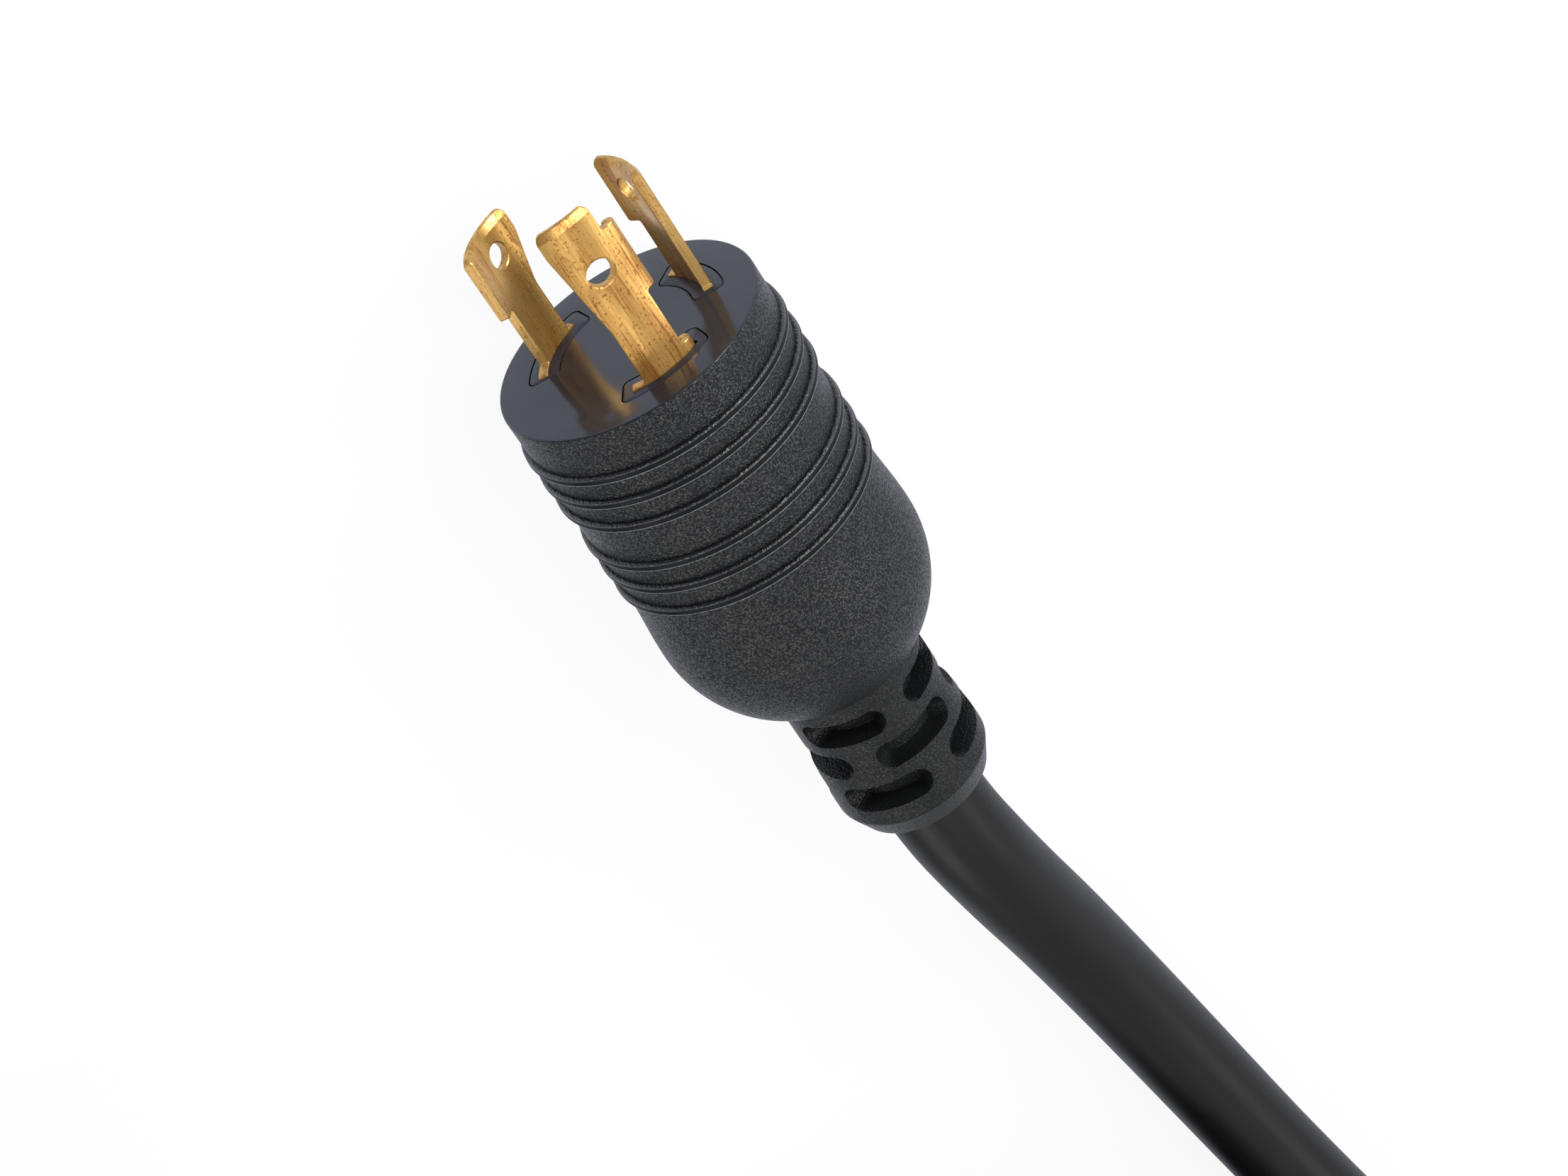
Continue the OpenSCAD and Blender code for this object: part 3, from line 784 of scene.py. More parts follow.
@dataclass(frozen=True)
class GripRings:
    """Raised ribs for the grip: a steep front, a flat top and a crisp rear edge, set in even groups.

    The marks of the rear edge and of the front fade out over the two lengths in fade.
    """

    base_r: float = 21.5
    rise: float = 0.8
    width: float = 1.35
    pitch: float = 4.7
    rings: int = 3
    groups: int = 2
    group_pitch: float = 17.6
    first: float = 8.5
    edge: float = 0.22
    front_edge: float = 0.4
    slope: float = 0.1
    root: float = 0.6
    lean: float = 0.1
    fade: Flat = (0.08, 0.15)
    crown: float = 0.01

    def bead(self) -> Piece:
        """Turn one ring about the origin's X axis, with its rear edge at X = 0.

        Returns:
            The ring, with its rear edge and its front marked for the finish.
        """
        top, foot = self.base_r + self.rise, self.base_r - self.root
        low, front = top - self.slope, -self.width
        profile = [(0.0, foot, 0.0)]
        profile += [(-self.edge * (1 - c), top - self.edge * (1 - s), 1.0) for s, c in quarter(5)]
        profile += [
            (-self.edge - self.fade[0], top - self.crown, 0.0),
            (front + self.front_edge + self.fade[1], low + self.crown, 0.0),
        ]
        profile += [
            (front + self.front_edge * (1 - s), low - self.front_edge * (1 - c), FRONT_MARK)
            for s, c in quarter(5)
        ]
        profile.append((front - self.lean, foot, 0.0))
        bm = bmesh.new()
        # This layer marks the rear edge, where the ring finish paints a highlight.
        edge_highlight = bm.verts.layers.float.new(EDGE_MARK)
        loops = add_lathe(bm, Axis(), [(s, r) for s, r, _ in profile], closed=True)
        for loop, (_, _, mark) in zip(loops, profile):
            for vert in loop:
                vert[edge_highlight] = mark
        return make_piece("grip_ring_bead", bm, sharp=50)

    def tree(self) -> bpy.types.NodeTree:
        """Build the tree that sets the bead in groups of rows along X.

        Returns:
            The tree.
        """
        tree, given = new_tree(
            "grip_rows",
            {
                "Bead": Setting.OBJECT,
                "Rings": Setting.COUNT,
                "Pitch": Setting.SIZE,
                "Groups": Setting.COUNT,
                "Group Pitch": Setting.SIZE,
                "Start": Setting.PLACE,
                "Material": Setting.MATERIAL,
            },
        )
        shape = add_node(tree, "GeometryNodeObjectInfo", {"Object": given["Bead"]}).outputs["Geometry"]
        for count, pitch, start in (
            (given["Rings"], given["Pitch"], None),
            (given["Groups"], given["Group Pitch"], given["Start"]),
        ):
            offset = add_node(tree, "ShaderNodeCombineXYZ", {"X": pitch}).outputs[0]
            line = add_node(
                tree, "GeometryNodeMeshLine", {"Count": count, "Offset": offset}, mode="OFFSET"
            )
            if start:
                tree.links.new(start, line.inputs["Start Location"])
            shape = add_node(
                tree, "GeometryNodeInstanceOnPoints", {"Points": line.outputs[0], "Instance": shape}
            ).outputs[0]
        end_tree(tree, shape, given["Material"])
        return tree

    def build(self, name: str, axis: Axis, finish: Finish) -> Piece:
        """Set the rings along an axis.

        Args:
            name: the piece's name.
            axis: the moulded end's axis.
            finish: the rings' finish.

        Returns:
            The rings, as one piece.
        """
        bead = self.bead()
        rings = grow(
            name,
            self.tree(),
            {
                "Bead": bead,
                "Rings": self.rings,
                "Pitch": self.pitch * MM,
                "Groups": self.groups,
                "Group Pitch": self.group_pitch * MM,
                "Start": axis.at(self.first, 0, 0),
                "Material": finish.material(),
            },
        )
        bpy.data.objects.remove(bead)
        return rings


@dataclass(frozen=True)
class Pad:
    """A flush pad of the blade carrier in the plug's face, between two angles."""

    start: float
    end: float
    inner_start: float
    inner_r: float = 11.3
    outer_r: float = 16.3
    corner: float = 1.0

    def outline(self, grow_by: float = 0.0) -> list[Flat]:
        """Give the pad's outline in the face.

        Args:
            grow_by: how far the outline is moved out.

        Returns:
            The outline's points, counterclockwise.
        """
        middle = (self.inner_r + self.outer_r) / 2
        inner, outer = self.inner_r - grow_by, self.outer_r + grow_by
        spread = math.degrees(grow_by / middle)
        corners = [
            (self.end + spread, inner),
            (self.inner_start - spread, inner),
            (self.start - spread, outer),
            (self.end + spread, outer),
        ]
        unrolled = [(math.radians(a) * middle, r, self.corner + grow_by) for a, r in corners]
        fine = refined(rounded(unrolled))
        bent = [(r * math.cos(t / middle), r * math.sin(t / middle)) for t, r in fine]
        area = sum(a[0] * b[1] - b[0] * a[1] for a, b in zip(bent, bent[1:] + bent[:1]))
        return bent if area > 0 else bent[::-1]


@dataclass(frozen=True)
class Blade:
    """A curved locking blade: punched flat, bevelled, and bent round the blade circle.

    Angles are in degrees from +Y towards +Z. Its low side carries the locking shoulder, or the
    rolled flange of the ground blade. Its high side tapers from the tip to the neck. The cuts that
    let it bend are given as the first one's place from the low side and the step between them.
    """

    node: str
    length: float
    neck: Flat
    tip: Flat
    base: Flat
    hole_at: float
    hole_angle: float
    hole_d: float
    pad: Pad
    shoulder_at: float = 11.0
    taper_end: float = 10.0
    taper_start: float = 4.0
    flange: Optional[Flat] = None
    curl_from: float = 61.1
    curl_sweep: float = 200.0
    curl_r: float = 1.1
    curl_sheet: float = 1.0
    curl_run: float = 1.4
    curl_cuts: Flat = (0.05, 0.07)
    bend_cuts: Flat = (0.15, 0.55)
    hole_steps: int = 48
    circle_r: float = 13.95
    thick: float = 1.6
    tab: Flat = (0.3, 0.3)
    tab_corner: float = 0.25
    foot: float = 3.0
    edge: float = 0.12
    tip_bevel: float = 1.3
    tip_thin: float = 0.65
    corner: Flat = (1.2, 1.2)

    @property
    def middle(self) -> float:
        """The angle at the middle of the neck."""
        return sum(self.neck) / 2

    @property
    def curl_middle(self) -> float:
        """The radius of the roll at the middle of its sheet."""
        return self.curl_r - self.curl_sheet / 2

    def along(self, angle: float) -> float:
        """Turn an angle into a distance along the flat blank from the middle of the neck."""
        return math.radians(angle - self.middle) * self.circle_r

    def outline(self) -> list[Flat]:
        """Lay out the flat blank from corners that each have a place, a height and a rounding.

        Returns:
            The blank's outline, counterclockwise: distances along it, and heights.
        """
        neck0, neck1 = (self.along(a) for a in self.neck)
        tip0, tip1 = (self.along(a) for a in self.tip)
        base0, base1 = (self.along(a) for a in self.base)
        tab0, tab1 = self.tab
        top = self.length
        high_side = [
            (base1, -self.foot, 0.1),
            (base1, tab1, 0.25),
            (neck1, tab1, 0.3),
            (neck1, self.taper_end, 9.0),
            (tip1, top - self.taper_start, 6.0),
            (tip1, top, self.corner[1]),
            (tip0, top, self.corner[0]),
        ]
        if self.flange:
            # The flange and the foot reach as far as the roll takes up.
            base0 = far = self.along(self.curl_from) - math.radians(self.curl_sweep) * self.curl_middle
            low, high = self.flange
            low_side = [
                (tip0, high + 0.2, 0.6),
                (far, high, 0.4),
                (far, low, 1.4),
                (neck0, low, 0.5),
            ]
        else:
            low_side = [(tip0, self.shoulder_at, 0.5), (neck0, self.shoulder_at, 0.4)]
        foot_side = [(neck0, tab0, 0.3), (base0, tab0, self.tab_corner), (base0, -self.foot, 0.1)]
        return rounded(high_side + low_side + foot_side, steps=12)

    def bend(self, t: float, h: float, depth: float, axis: Axis) -> Vector:
        """Bend a point of the blank round the blade circle.

        Args:
            t: distance along the blank from the middle of the neck.
            h: height above the face.
            depth: distance out from the middle of the sheet.
            axis: the plug's axis.

        Returns:
            The bent point.
        """
        start = self.along(self.curl_from)
        if self.flange:
            thinned = (1 - self.curl_sheet / self.thick) * ease((start + self.curl_run - t) / self.curl_run)
            depth += (self.thick / 2 - depth) * thinned
        if not self.flange or t >= start:
            return axis.at(-h, self.circle_r + depth, self.middle + math.degrees(t / self.circle_r))
        turn = (start - t) / self.curl_middle
        centre = self.circle_r + self.thick / 2 - self.curl_r
        radius = self.circle_r + depth - centre
        out, side = centre + radius * math.cos(turn), -radius * math.sin(turn)
        return axis.at(-h, math.hypot(out, side), self.curl_from + math.degrees(math.atan2(side, out)))

    def punch(self, outline: Sequence[Flat]) -> bmesh.types.BMesh:
        """Punch the flat blank, with bevelled edges and its hole.

        Args:
            outline: the blank's outline.

        Returns:
            The blank: distance along it, height and depth.
        """
        hole = circle(self.along(self.hole_angle), self.hole_at, self.hole_d / 2, self.hole_steps)
        bm = bmesh.new()
        half = self.thick / 2
        levels = [(-half, self.edge), (self.edge - half, 0.0), (half - self.edge, 0.0), (half, self.edge)]
        rings = []
        for depth, step_in in levels:
            outer = [Vector((t, h, depth)) for t, h in inset(outline, step_in)]
            inner = [Vector((t, h, depth)) for t, h in inset(hole, -2 * step_in)]
            rings.append((add_loop(bm, outer), add_loop(bm, inner)))
        for (low_outer, low_inner), (high_outer, high_inner) in zip(rings, rings[1:]):
            add_band(bm, low_outer[0], high_outer[0])
            add_band(bm, low_inner[0], high_inner[0])
        for outer, inner in (rings[0], rings[-1]):
            bmesh.ops.triangle_fill(bm, edges=outer[1] + inner[1], use_beauty=True)
        return bm

    def build(self, axis: Axis) -> Piece:
        """Punch the blade, cut it finely enough to bend, and bend it.

        Args:
            axis: the plug's axis.

        Returns:
            The blade, with its sheared edges set aside for a second finish.
        """
        outline = self.outline()
        bm = self.punch(outline)
        low, high = min(t for t, _ in outline), max(t for t, _ in outline)
        first, step = self.bend_cuts
        cuts = np.arange(low + first, high, step)
        if self.flange:
            rolled = self.along(self.curl_from) + self.curl_run
            fine = np.arange(low + self.curl_cuts[0], rolled, self.curl_cuts[1])
            cuts = np.concatenate((fine, np.arange(rolled, high, step)))
        planes = [((cut, 0, 0), (1, 0, 0)) for cut in cuts]
        planes.append(((0, self.length - self.tip_bevel, 0), (0, 1, 0)))
        for place, way in planes:
            every = bm.verts[:] + bm.edges[:] + bm.faces[:]
            bmesh.ops.bisect_plane(bm, geom=every, dist=1e-5, plane_co=place, plane_no=way)
        bm.normal_update()
        for face in bm.faces:
            face.material_index = int(abs(face.normal.z) < STEEP)
        for vert in bm.verts:
            t, h, depth = vert.co
            lead = max(0.0, (h - self.length + self.tip_bevel) / self.tip_bevel)
            vert.co = self.bend(t, h, depth * (1 - self.tip_thin * lead), axis)
        return make_piece(self.node.replace("_", "-") + "-dressed", bm, sharp=11)


@dataclass(frozen=True)
class SlottedBoot:
    """The strain relief: a neck that flares to a chamfered rim, cut by rows of staggered slots.

    Its mesh has three stretches with their own steps: before fine_from, up to fine_to, and the rim.
    """

    start: float
    end: float
    neck_r: float = 12.35
    flare: float = 18.0
    rim_r: float = 13.3
    rim_run: float = 0.5
    rim_round: float = 0.1
    chamfer: float = 3.9
    chamfer_drop: float = 1.7
    chamfer_lead: float = 0.1
    end_round: float = 0.3
    end_steps: Flat = (0.3, 0.1)
    fine_from: float = 2.0
    fine_to: float = 6.0
    steps: tuple[int, int, int] = (8, 150, 24)
    bore_r: float = 8.5
    bore_depth: float = 8.0
    tuck: float = 3.0
    slot_w: float = 4.5
    slot_depth: float = 3.7
    slot_span: float = 68.0
    slot_lip: Flat = (0.12, 0.3)
    first_slot: float = 4.95
    slot_pitch: float = 6.9
    slot_turn: float = 32.0
    row_turn: float = -2.5
    rows: int = 3
    slots: int = 4
    around: int = 400

    def radius(self, s: float) -> float:
        """Give the boot's radius before the slots.

        Args:
            s: distance behind the moulded end's face.

        Returns:
            The radius.
        """
        straight, cone = self.end - self.flare, self.end - self.chamfer
        rim = cone - self.rim_run
        if s < straight:
            return self.neck_r
        if s < rim:
            rise = math.sin(math.pi / 2 * (s - straight) / (rim - straight))
            return self.neck_r + (self.rim_r - self.neck_r) * rise
        if s < cone:
            return self.rim_r - self.rim_round * ((s - rim) / (cone - rim)) ** 2
        return self.rim_r - self.rim_round - self.chamfer_drop * (s - cone) / self.chamfer

    def slot_depths(self, along: np.ndarray, angles: np.ndarray) -> np.ndarray:
        """Give how deep the slots are at each point of the boot.

        Args:
            along: distances behind the moulded end's face.
            angles: angles round the boot, in degrees.

        Returns:
            The depths, a row for each distance.
        """
        depth = np.zeros((len(along), len(angles)))
        reach = np.radians(self.slot_span / 2) * self.neck_r - self.slot_w / 2
        outside, run = self.slot_lip
        for row in range(self.rows):
            middle = self.start + self.first_slot + row * self.slot_pitch
            turn = self.slot_turn + row * self.row_turn + (row % 2) * 180 / self.slots
            for k in range(self.slots):
                arc = (angles - turn - k * 360 / self.slots + 180) % 360 - 180
                past = np.maximum(0, np.abs(np.radians(arc) * self.neck_r) - reach)
                gap = np.hypot(past[None, :], (along - middle)[:, None]) - self.slot_w / 2
                wall = np.clip((outside - gap) / run, 0, 1)
                depth = np.maximum(depth, self.slot_depth * wall * wall * (3 - 2 * wall))
        return depth

    def build(self, name: str, axis: Axis) -> Piece:
        """Turn the boot with its slots sunk into it.

        Args:
            name: the piece's name.
            axis: the moulded end's axis.

        Returns:
            The boot, with its chamfer set aside for a second finish that is painted lighter.
        """
        fine_from, fine_to = self.start + self.fine_from, self.end - self.fine_to
        before_end, at_end = (self.end - step for step in self.end_steps)
        along = np.concatenate(
            (
                np.linspace(self.start - self.tuck, fine_from, self.steps[0], endpoint=False),
                np.linspace(fine_from, fine_to, self.steps[1], endpoint=False),
                np.linspace(fine_to, before_end, self.steps[2]),
                [at_end, self.end],
            )
        )
        angles = np.arange(self.around) * 360 / self.around
        radii = np.array([self.radius(s) for s in along])
        radii[-1] -= self.end_round
        radii = radii[:, None] - self.slot_depths(along, angles)
        rows = [[axis.at(s, r, a) for r, a in zip(ring, angles)] for s, ring in zip(along, radii)]
        for s in (self.end, self.end - self.bore_depth):
            rows.append([axis.at(s, self.bore_r, a) for a in angles])
        bm = bmesh.new()
        add_grid(bm, rows, True, False)
        bm.faces.ensure_lookup_table()
        # The chamfer's faces take the second finish, a lighter copy of the boot's rubber: painted light.
        for i in np.flatnonzero(along[:-1] >= self.end - self.chamfer - self.chamfer_lead):
            for face in bm.faces[i * self.around:(i + 1) * self.around]:
                face.material_index = 1
        return make_piece(name, bm, sharp=40)


@dataclass
class MouldedEnd:
    """What both ends of the cord share: a round rear end, grip rings and a boot.

    Its tuck is how far the profile runs on inside the boot, back and inwards.
    """

    axis: Axis
    body_r: float = 21.5
    straight: float = 36.5
    dome_at: float = 50.0
    dome_r: float = 22.3
    neck_r: float = 12.35
    boot_end: float = 96.97
    tuck: Flat = (0.6, 1.5)
    body_step: float = 1.5
    swell_steps: int = 20
    dome_steps: int = 60
    rings: GripRings = field(default_factory=GripRings)

    @property
    def dome_end(self) -> float:
        """Where the round rear end meets the boot's neck."""
        return self.dome_at + math.sqrt(self.dome_r**2 - self.neck_r**2)

    def rear(self) -> list[Flat]:
        """Give the turned profile from the end of the straight body to inside the boot.

        Returns:
            Distances behind the face, and radii.
        """
        points = []
        for s in np.linspace(self.straight, self.dome_at, self.swell_steps, endpoint=False):
            lift = ease((s - self.straight) / (self.dome_at - self.straight))
            points.append((s, self.body_r + (self.dome_r - self.body_r) * lift))
        last = math.acos(self.neck_r / self.dome_r)
        for k in range(self.dome_steps + 1):
            turn = last * k / self.dome_steps
            points.append((self.dome_at + self.dome_r * math.sin(turn), self.dome_r * math.cos(turn)))
        points.append((self.dome_end + self.tuck[0], self.neck_r - self.tuck[1]))
        return points

    def build_boot(self, name: str, finishes: "Finishes") -> Piece:
        """Make and dress the boot.

        Args:
            name: the piece's name.
            finishes: the finishes to use.

        Returns:
            The boot.
        """
        boot = SlottedBoot(self.dome_end, self.boot_end).build(name, self.axis)
        finishes.boot.on(boot, finishes.painted_light_rim)
        return boot


@dataclass
class Plug(MouldedEnd):
    """The locking plug: a moulded body, its grip rings, three flush pads, three blades and the boot."""

    rim: float = 0.35
    body_from: float = 1.0
    groove: float = 0.2
    groove_depth: float = 0.9
    slit: float = 0.06
    slit_corner: float = 0.2
    pad_edge: float = 0.16
    pad_play: float = 0.05
    blades: tuple[Blade, ...] = (
        Blade(
            "line_blade", 22.8, (-151, -119), (-161.5, -110), (-164, -114), 17.7, -132, 4.0,
            Pad(-166.5, -104.5, -166.5),
        ),
        Blade(
            "neutral_blade", 22.8, (-32.5, 4), (-42, 8), (-40, 5.5), 17.3, -23, 4.0,
            Pad(-44.5, 10, -44.5), corner=(1.2, 2.3),
        ),
        Blade(
            "ground_blade", 29.0, (65, 95.5), (68, 103), (56, 104), 19.0, 82, 4.2,
            Pad(54, 110.5, 40.5), flange=(12.0, 23.85), tab=(1.6, 0.3), tab_corner=0.3,
        ),
    )

    def profile(self) -> list[Flat]:
        """Give the body's turned profile from the face's rim to inside the boot.

        Returns:
            Distances behind the face, and radii.
        """
        points = [(self.rim * (1 - c), self.body_r - self.rim * (1 - s)) for s, c in quarter(6)]
        points += [(s, self.body_r) for s in np.arange(self.body_from, self.straight, self.body_step)]
        return points + self.rear()

    def flat(self, outline: Sequence[Flat], s: float) -> list[Vector]:
        """Lay a flat outline of the face at a distance behind it."""
        x = self.axis.x + s * MM
        return [Vector((x, self.axis.y + y * MM, self.axis.z + z * MM)) for y, z in outline]

    def build_body(self, grained: Finish, satin: Finish) -> Piece:
        """Make the body, with a groove round each pad in its smooth face.

        Args:
            grained: the body's finish.
            satin: the face's finish.

        Returns:
            The body.
        """
        bm = bmesh.new()
        rings = add_lathe(bm, self.axis, self.profile())
        edges = [bm.edges.get((rings[0][i - 1], rings[0][i])) for i in range(ROUND)]
        for blade in self.blades:
            outline = blade.pad.outline(self.groove)
            top, top_edges = add_loop(bm, self.flat(outline, 0))
            floor, floor_edges = add_loop(bm, self.flat(outline, self.groove_depth))
            add_band(bm, top, floor)
            bmesh.ops.triangle_fill(bm, edges=floor_edges, use_beauty=True)
            edges += top_edges
        bmesh.ops.triangle_fill(bm, edges=edges, use_beauty=True)
        body = make_piece("plug-moulding", bm)
        grained.on(body, satin)
        behind = self.axis.x + (self.groove_depth + self.pad_play) * MM
        for polygon in body.data.polygons:
            if polygon.center.x < behind and abs(polygon.normal.x) > STEEP:
                polygon.material_index = 1
        return body

    def build_pads(self) -> Piece:
        """Make the three pads, each with a slit round its blade's foot.

        Returns:
            The pads, as one piece.
        """
        bm = bmesh.new()
        for blade in self.blades:
            low, high = (blade.along(a) for a in blade.base)
            low, high, half = low - self.slit, high + self.slit, blade.thick / 2 + self.slit
            corners = ((low, -half), (high, -half), (high, half), (low, half))
            bent = []
            for t, d in refined(rounded([(t, d, self.slit_corner) for t, d in corners], 3)):
                turn = math.radians(blade.middle) + t / blade.circle_r
                radius = blade.circle_r + d
                bent.append((radius * math.cos(turn), radius * math.sin(turn)))
            self.add_pad(bm, blade.pad.outline(), bent)
        return make_piece("face-pads", bm)

    def add_pad(self, bm: bmesh.types.BMesh, outline: list[Flat], slit: list[Flat]) -> None:
        """Add one bevelled pad with a slit through it.

        Args:
            bm: the mesh to add to.
            outline: the pad's outline in the face.
            slit: the slit's outline.
        """
        deep = self.groove_depth - self.pad_play
        round_off = self.pad_edge * EASED
        levels = [(deep, 0.0), (self.pad_edge, 0.0), (round_off, round_off), (0.0, self.pad_edge)]
        loops = [add_loop(bm, self.flat(inset(outline, step), s)) for s, step in levels]
        for first, second in zip(loops, loops[1:]):
            add_band(bm, first[0], second[0])
        top, top_edges = add_loop(bm, self.flat(slit, 0.0))
        floor, floor_edges = add_loop(bm, self.flat(slit, deep))
        add_band(bm, top, floor)
        bmesh.ops.triangle_fill(bm, edges=loops[-1][1] + top_edges, use_beauty=True)
        bmesh.ops.triangle_fill(bm, edges=loops[0][1] + floor_edges, use_beauty=True)

    def build(self, finishes: "Finishes") -> list[Piece]:
        """Make and dress every piece of the plug.

        Args:
            finishes: the finishes to use.

        Returns:
            The pieces.
        """
        body = self.build_body(finishes.grained, finishes.face)
        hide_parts("plug_body")
        rings = self.rings.build("plug-grip-rings", self.axis, finishes.ring)
        pads = self.build_pads()
        finishes.pad.on(pads)
        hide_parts("blade_carrier")
        boot = self.build_boot("plug-boot", finishes)
        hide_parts("strain_relief")
        pieces = [body, rings, pads, boot]
        for blade in self.blades:
            made = blade.build(self.axis)
            finishes.blade.on(made, finishes.sheared)
            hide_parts(blade.node)
            pieces.append(made)
        for piece in pieces:
            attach(piece, CORD_BODY)
        return pieces


@dataclass
class LockingRing:
    """The load end's locking ring: a threaded collar with ridges for the fingers.

    A ridge's end is given as distances in from it, each with the share of the height reached there.
    """

    axis: Axis
    front: float = -6.0
    back: float = 16.2
    bevel: float = 0.7
    bevel_middle: Flat = (0.2, 0.3)
    floor_r: float = 24.85
    ridge_r: float = 25.5
    thread_r: float = 23.2
    thread_rise: float = 0.7
    thread_pitch: float = 2.5
    thread_steps: int = 12
    thread_from: float = 1.5
    thread_free: float = 2.0
    mouth: float = 0.4
    lip_r: float = 20.1
    lip_at: float = 11.7
    lip_edge: float = 0.3
    ridges: int = 24
    ridge_span: float = 9.5
    ridge_from: float = -4.2
    ridge_to: float = 14.4
    ridge_end: tuple[Flat, ...] = ((0.0, -0.4), (0.25, 0.6), (0.8, 1.0))
    ridge_steps: int = 9
    ridge_power: int = 6
    ridge_sink: float = 0.5
    around: int = 192

    def profile(self) -> list[Flat]:
        """Give the collar's closed profile: outside, back, lip, thread and mouth.

        Returns:
            Distances behind the connector's face, and radii.
        """
        step, drop = (share * self.bevel for share in self.bevel_middle)
        low, middle = self.floor_r - self.bevel, self.floor_r - drop
        points = [
            (self.front, low),
            (self.front + step, middle),
            (self.front + self.bevel, self.floor_r),
            (self.back - self.bevel, self.floor_r),
            (self.back - step, middle),
            (self.back, low),
            (self.back, self.lip_r + self.lip_edge),
            (self.back - self.lip_edge, self.lip_r),
            (self.lip_at + self.lip_edge, self.lip_r),
            (self.lip_at, self.lip_r + self.lip_edge),
            (self.lip_at, self.thread_r),
        ]
        start = self.front + self.thread_from
        turns = int((self.lip_at - self.thread_free - start) / self.thread_pitch)
        for k in range(turns * self.thread_steps, -1, -1):
            part = k / self.thread_steps
            wave = (1 - math.cos(2 * math.pi * part)) / 2
            points.append((start + part * self.thread_pitch, self.thread_r - self.thread_rise * wave))
        points.append((self.front, self.thread_r + self.mouth))
        return points

    def ridge(self) -> Piece:
        """Make one ridge about the origin's X axis, at +Y, rounded at its ends and sides.

        Returns:
            The ridge.
        """
        spine = [(self.ridge_from + run, lift) for run, lift in self.ridge_end]
        spine += [(self.ridge_to - run, lift) for run, lift in self.ridge_end[::-1]]
        rows = []
        for s, lift in spine:
            row = []
            for side in np.linspace(-1, 1, self.ridge_steps):
                fall = abs(side) ** self.ridge_power
                crown = lift * (1 - fall) - self.ridge_sink * fall
                radius = self.floor_r + (self.ridge_r - self.floor_r) * crown
                row.append(Axis().at(s, radius, self.ridge_span / 2 * side))
            rows.append(row)
        bm = bmesh.new()
        add_grid(bm, rows, False, False)
        return make_piece("ring_ridge", bm, sharp=60)

    def tree(self) -> bpy.types.NodeTree:
        """Build the tree that sets a ridge in a wreath about an axis along X.

        Returns:
            The tree.
        """
        tree, given = new_tree(
            "ridge_wreath",
            {
                "Ridge": Setting.OBJECT,
                "Count": Setting.COUNT,
                "Centre": Setting.PLACE,
                "Material": Setting.MATERIAL,
            },
        )
        shape = add_node(tree, "GeometryNodeObjectInfo", {"Object": given["Ridge"]}).outputs["Geometry"]
        points = add_node(
            tree, "GeometryNodePoints", {"Count": given["Count"], "Position": given["Centre"]}
        )
        index = add_node(tree, "GeometryNodeInputIndex").outputs[0]
        share = add_node(
            tree, "ShaderNodeMath", {0: 2 * math.pi, 1: given["Count"]}, operation="DIVIDE"
        ).outputs[0]
        turn = add_node(tree, "ShaderNodeMath", {0: index, 1: share}, operation="MULTIPLY").outputs[0]
        euler = add_node(tree, "ShaderNodeCombineXYZ", {"X": turn}).outputs[0]
        rotation = add_node(tree, "FunctionNodeEulerToRotation", {0: euler}).outputs[0]
        wreath = add_node(
            tree,
            "GeometryNodeInstanceOnPoints",
            {"Points": points.outputs[0], "Instance": shape, "Rotation": rotation},
        )
        end_tree(tree, wreath.outputs[0], given["Material"])
        return tree

    def build(self, finishes: "Finishes") -> list[Piece]:
        """Make and dress the ring and its ridges.

        Args:
            finishes: the finishes to use.

        Returns:
            The pieces.
        """
        bm = bmesh.new()
        add_lathe(bm, self.axis, self.profile(), closed=True, around=self.around)
        collar = make_piece("locking-collar", bm)
        finishes.collar.on(collar)
        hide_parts("locking_ring")
        ridge = self.ridge()
        wreath = grow(
            "locking-ridges",
            self.tree(),
            {
                "Ridge": ridge,
                "Count": self.ridges,
                "Centre": self.axis.at(0, 0, 0),
                "Material": finishes.collar.material(),
            },
        )
        bpy.data.objects.remove(ridge)
        for piece in (collar, wreath):
            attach(piece, RING_BODY)
        return [collar, wreath]


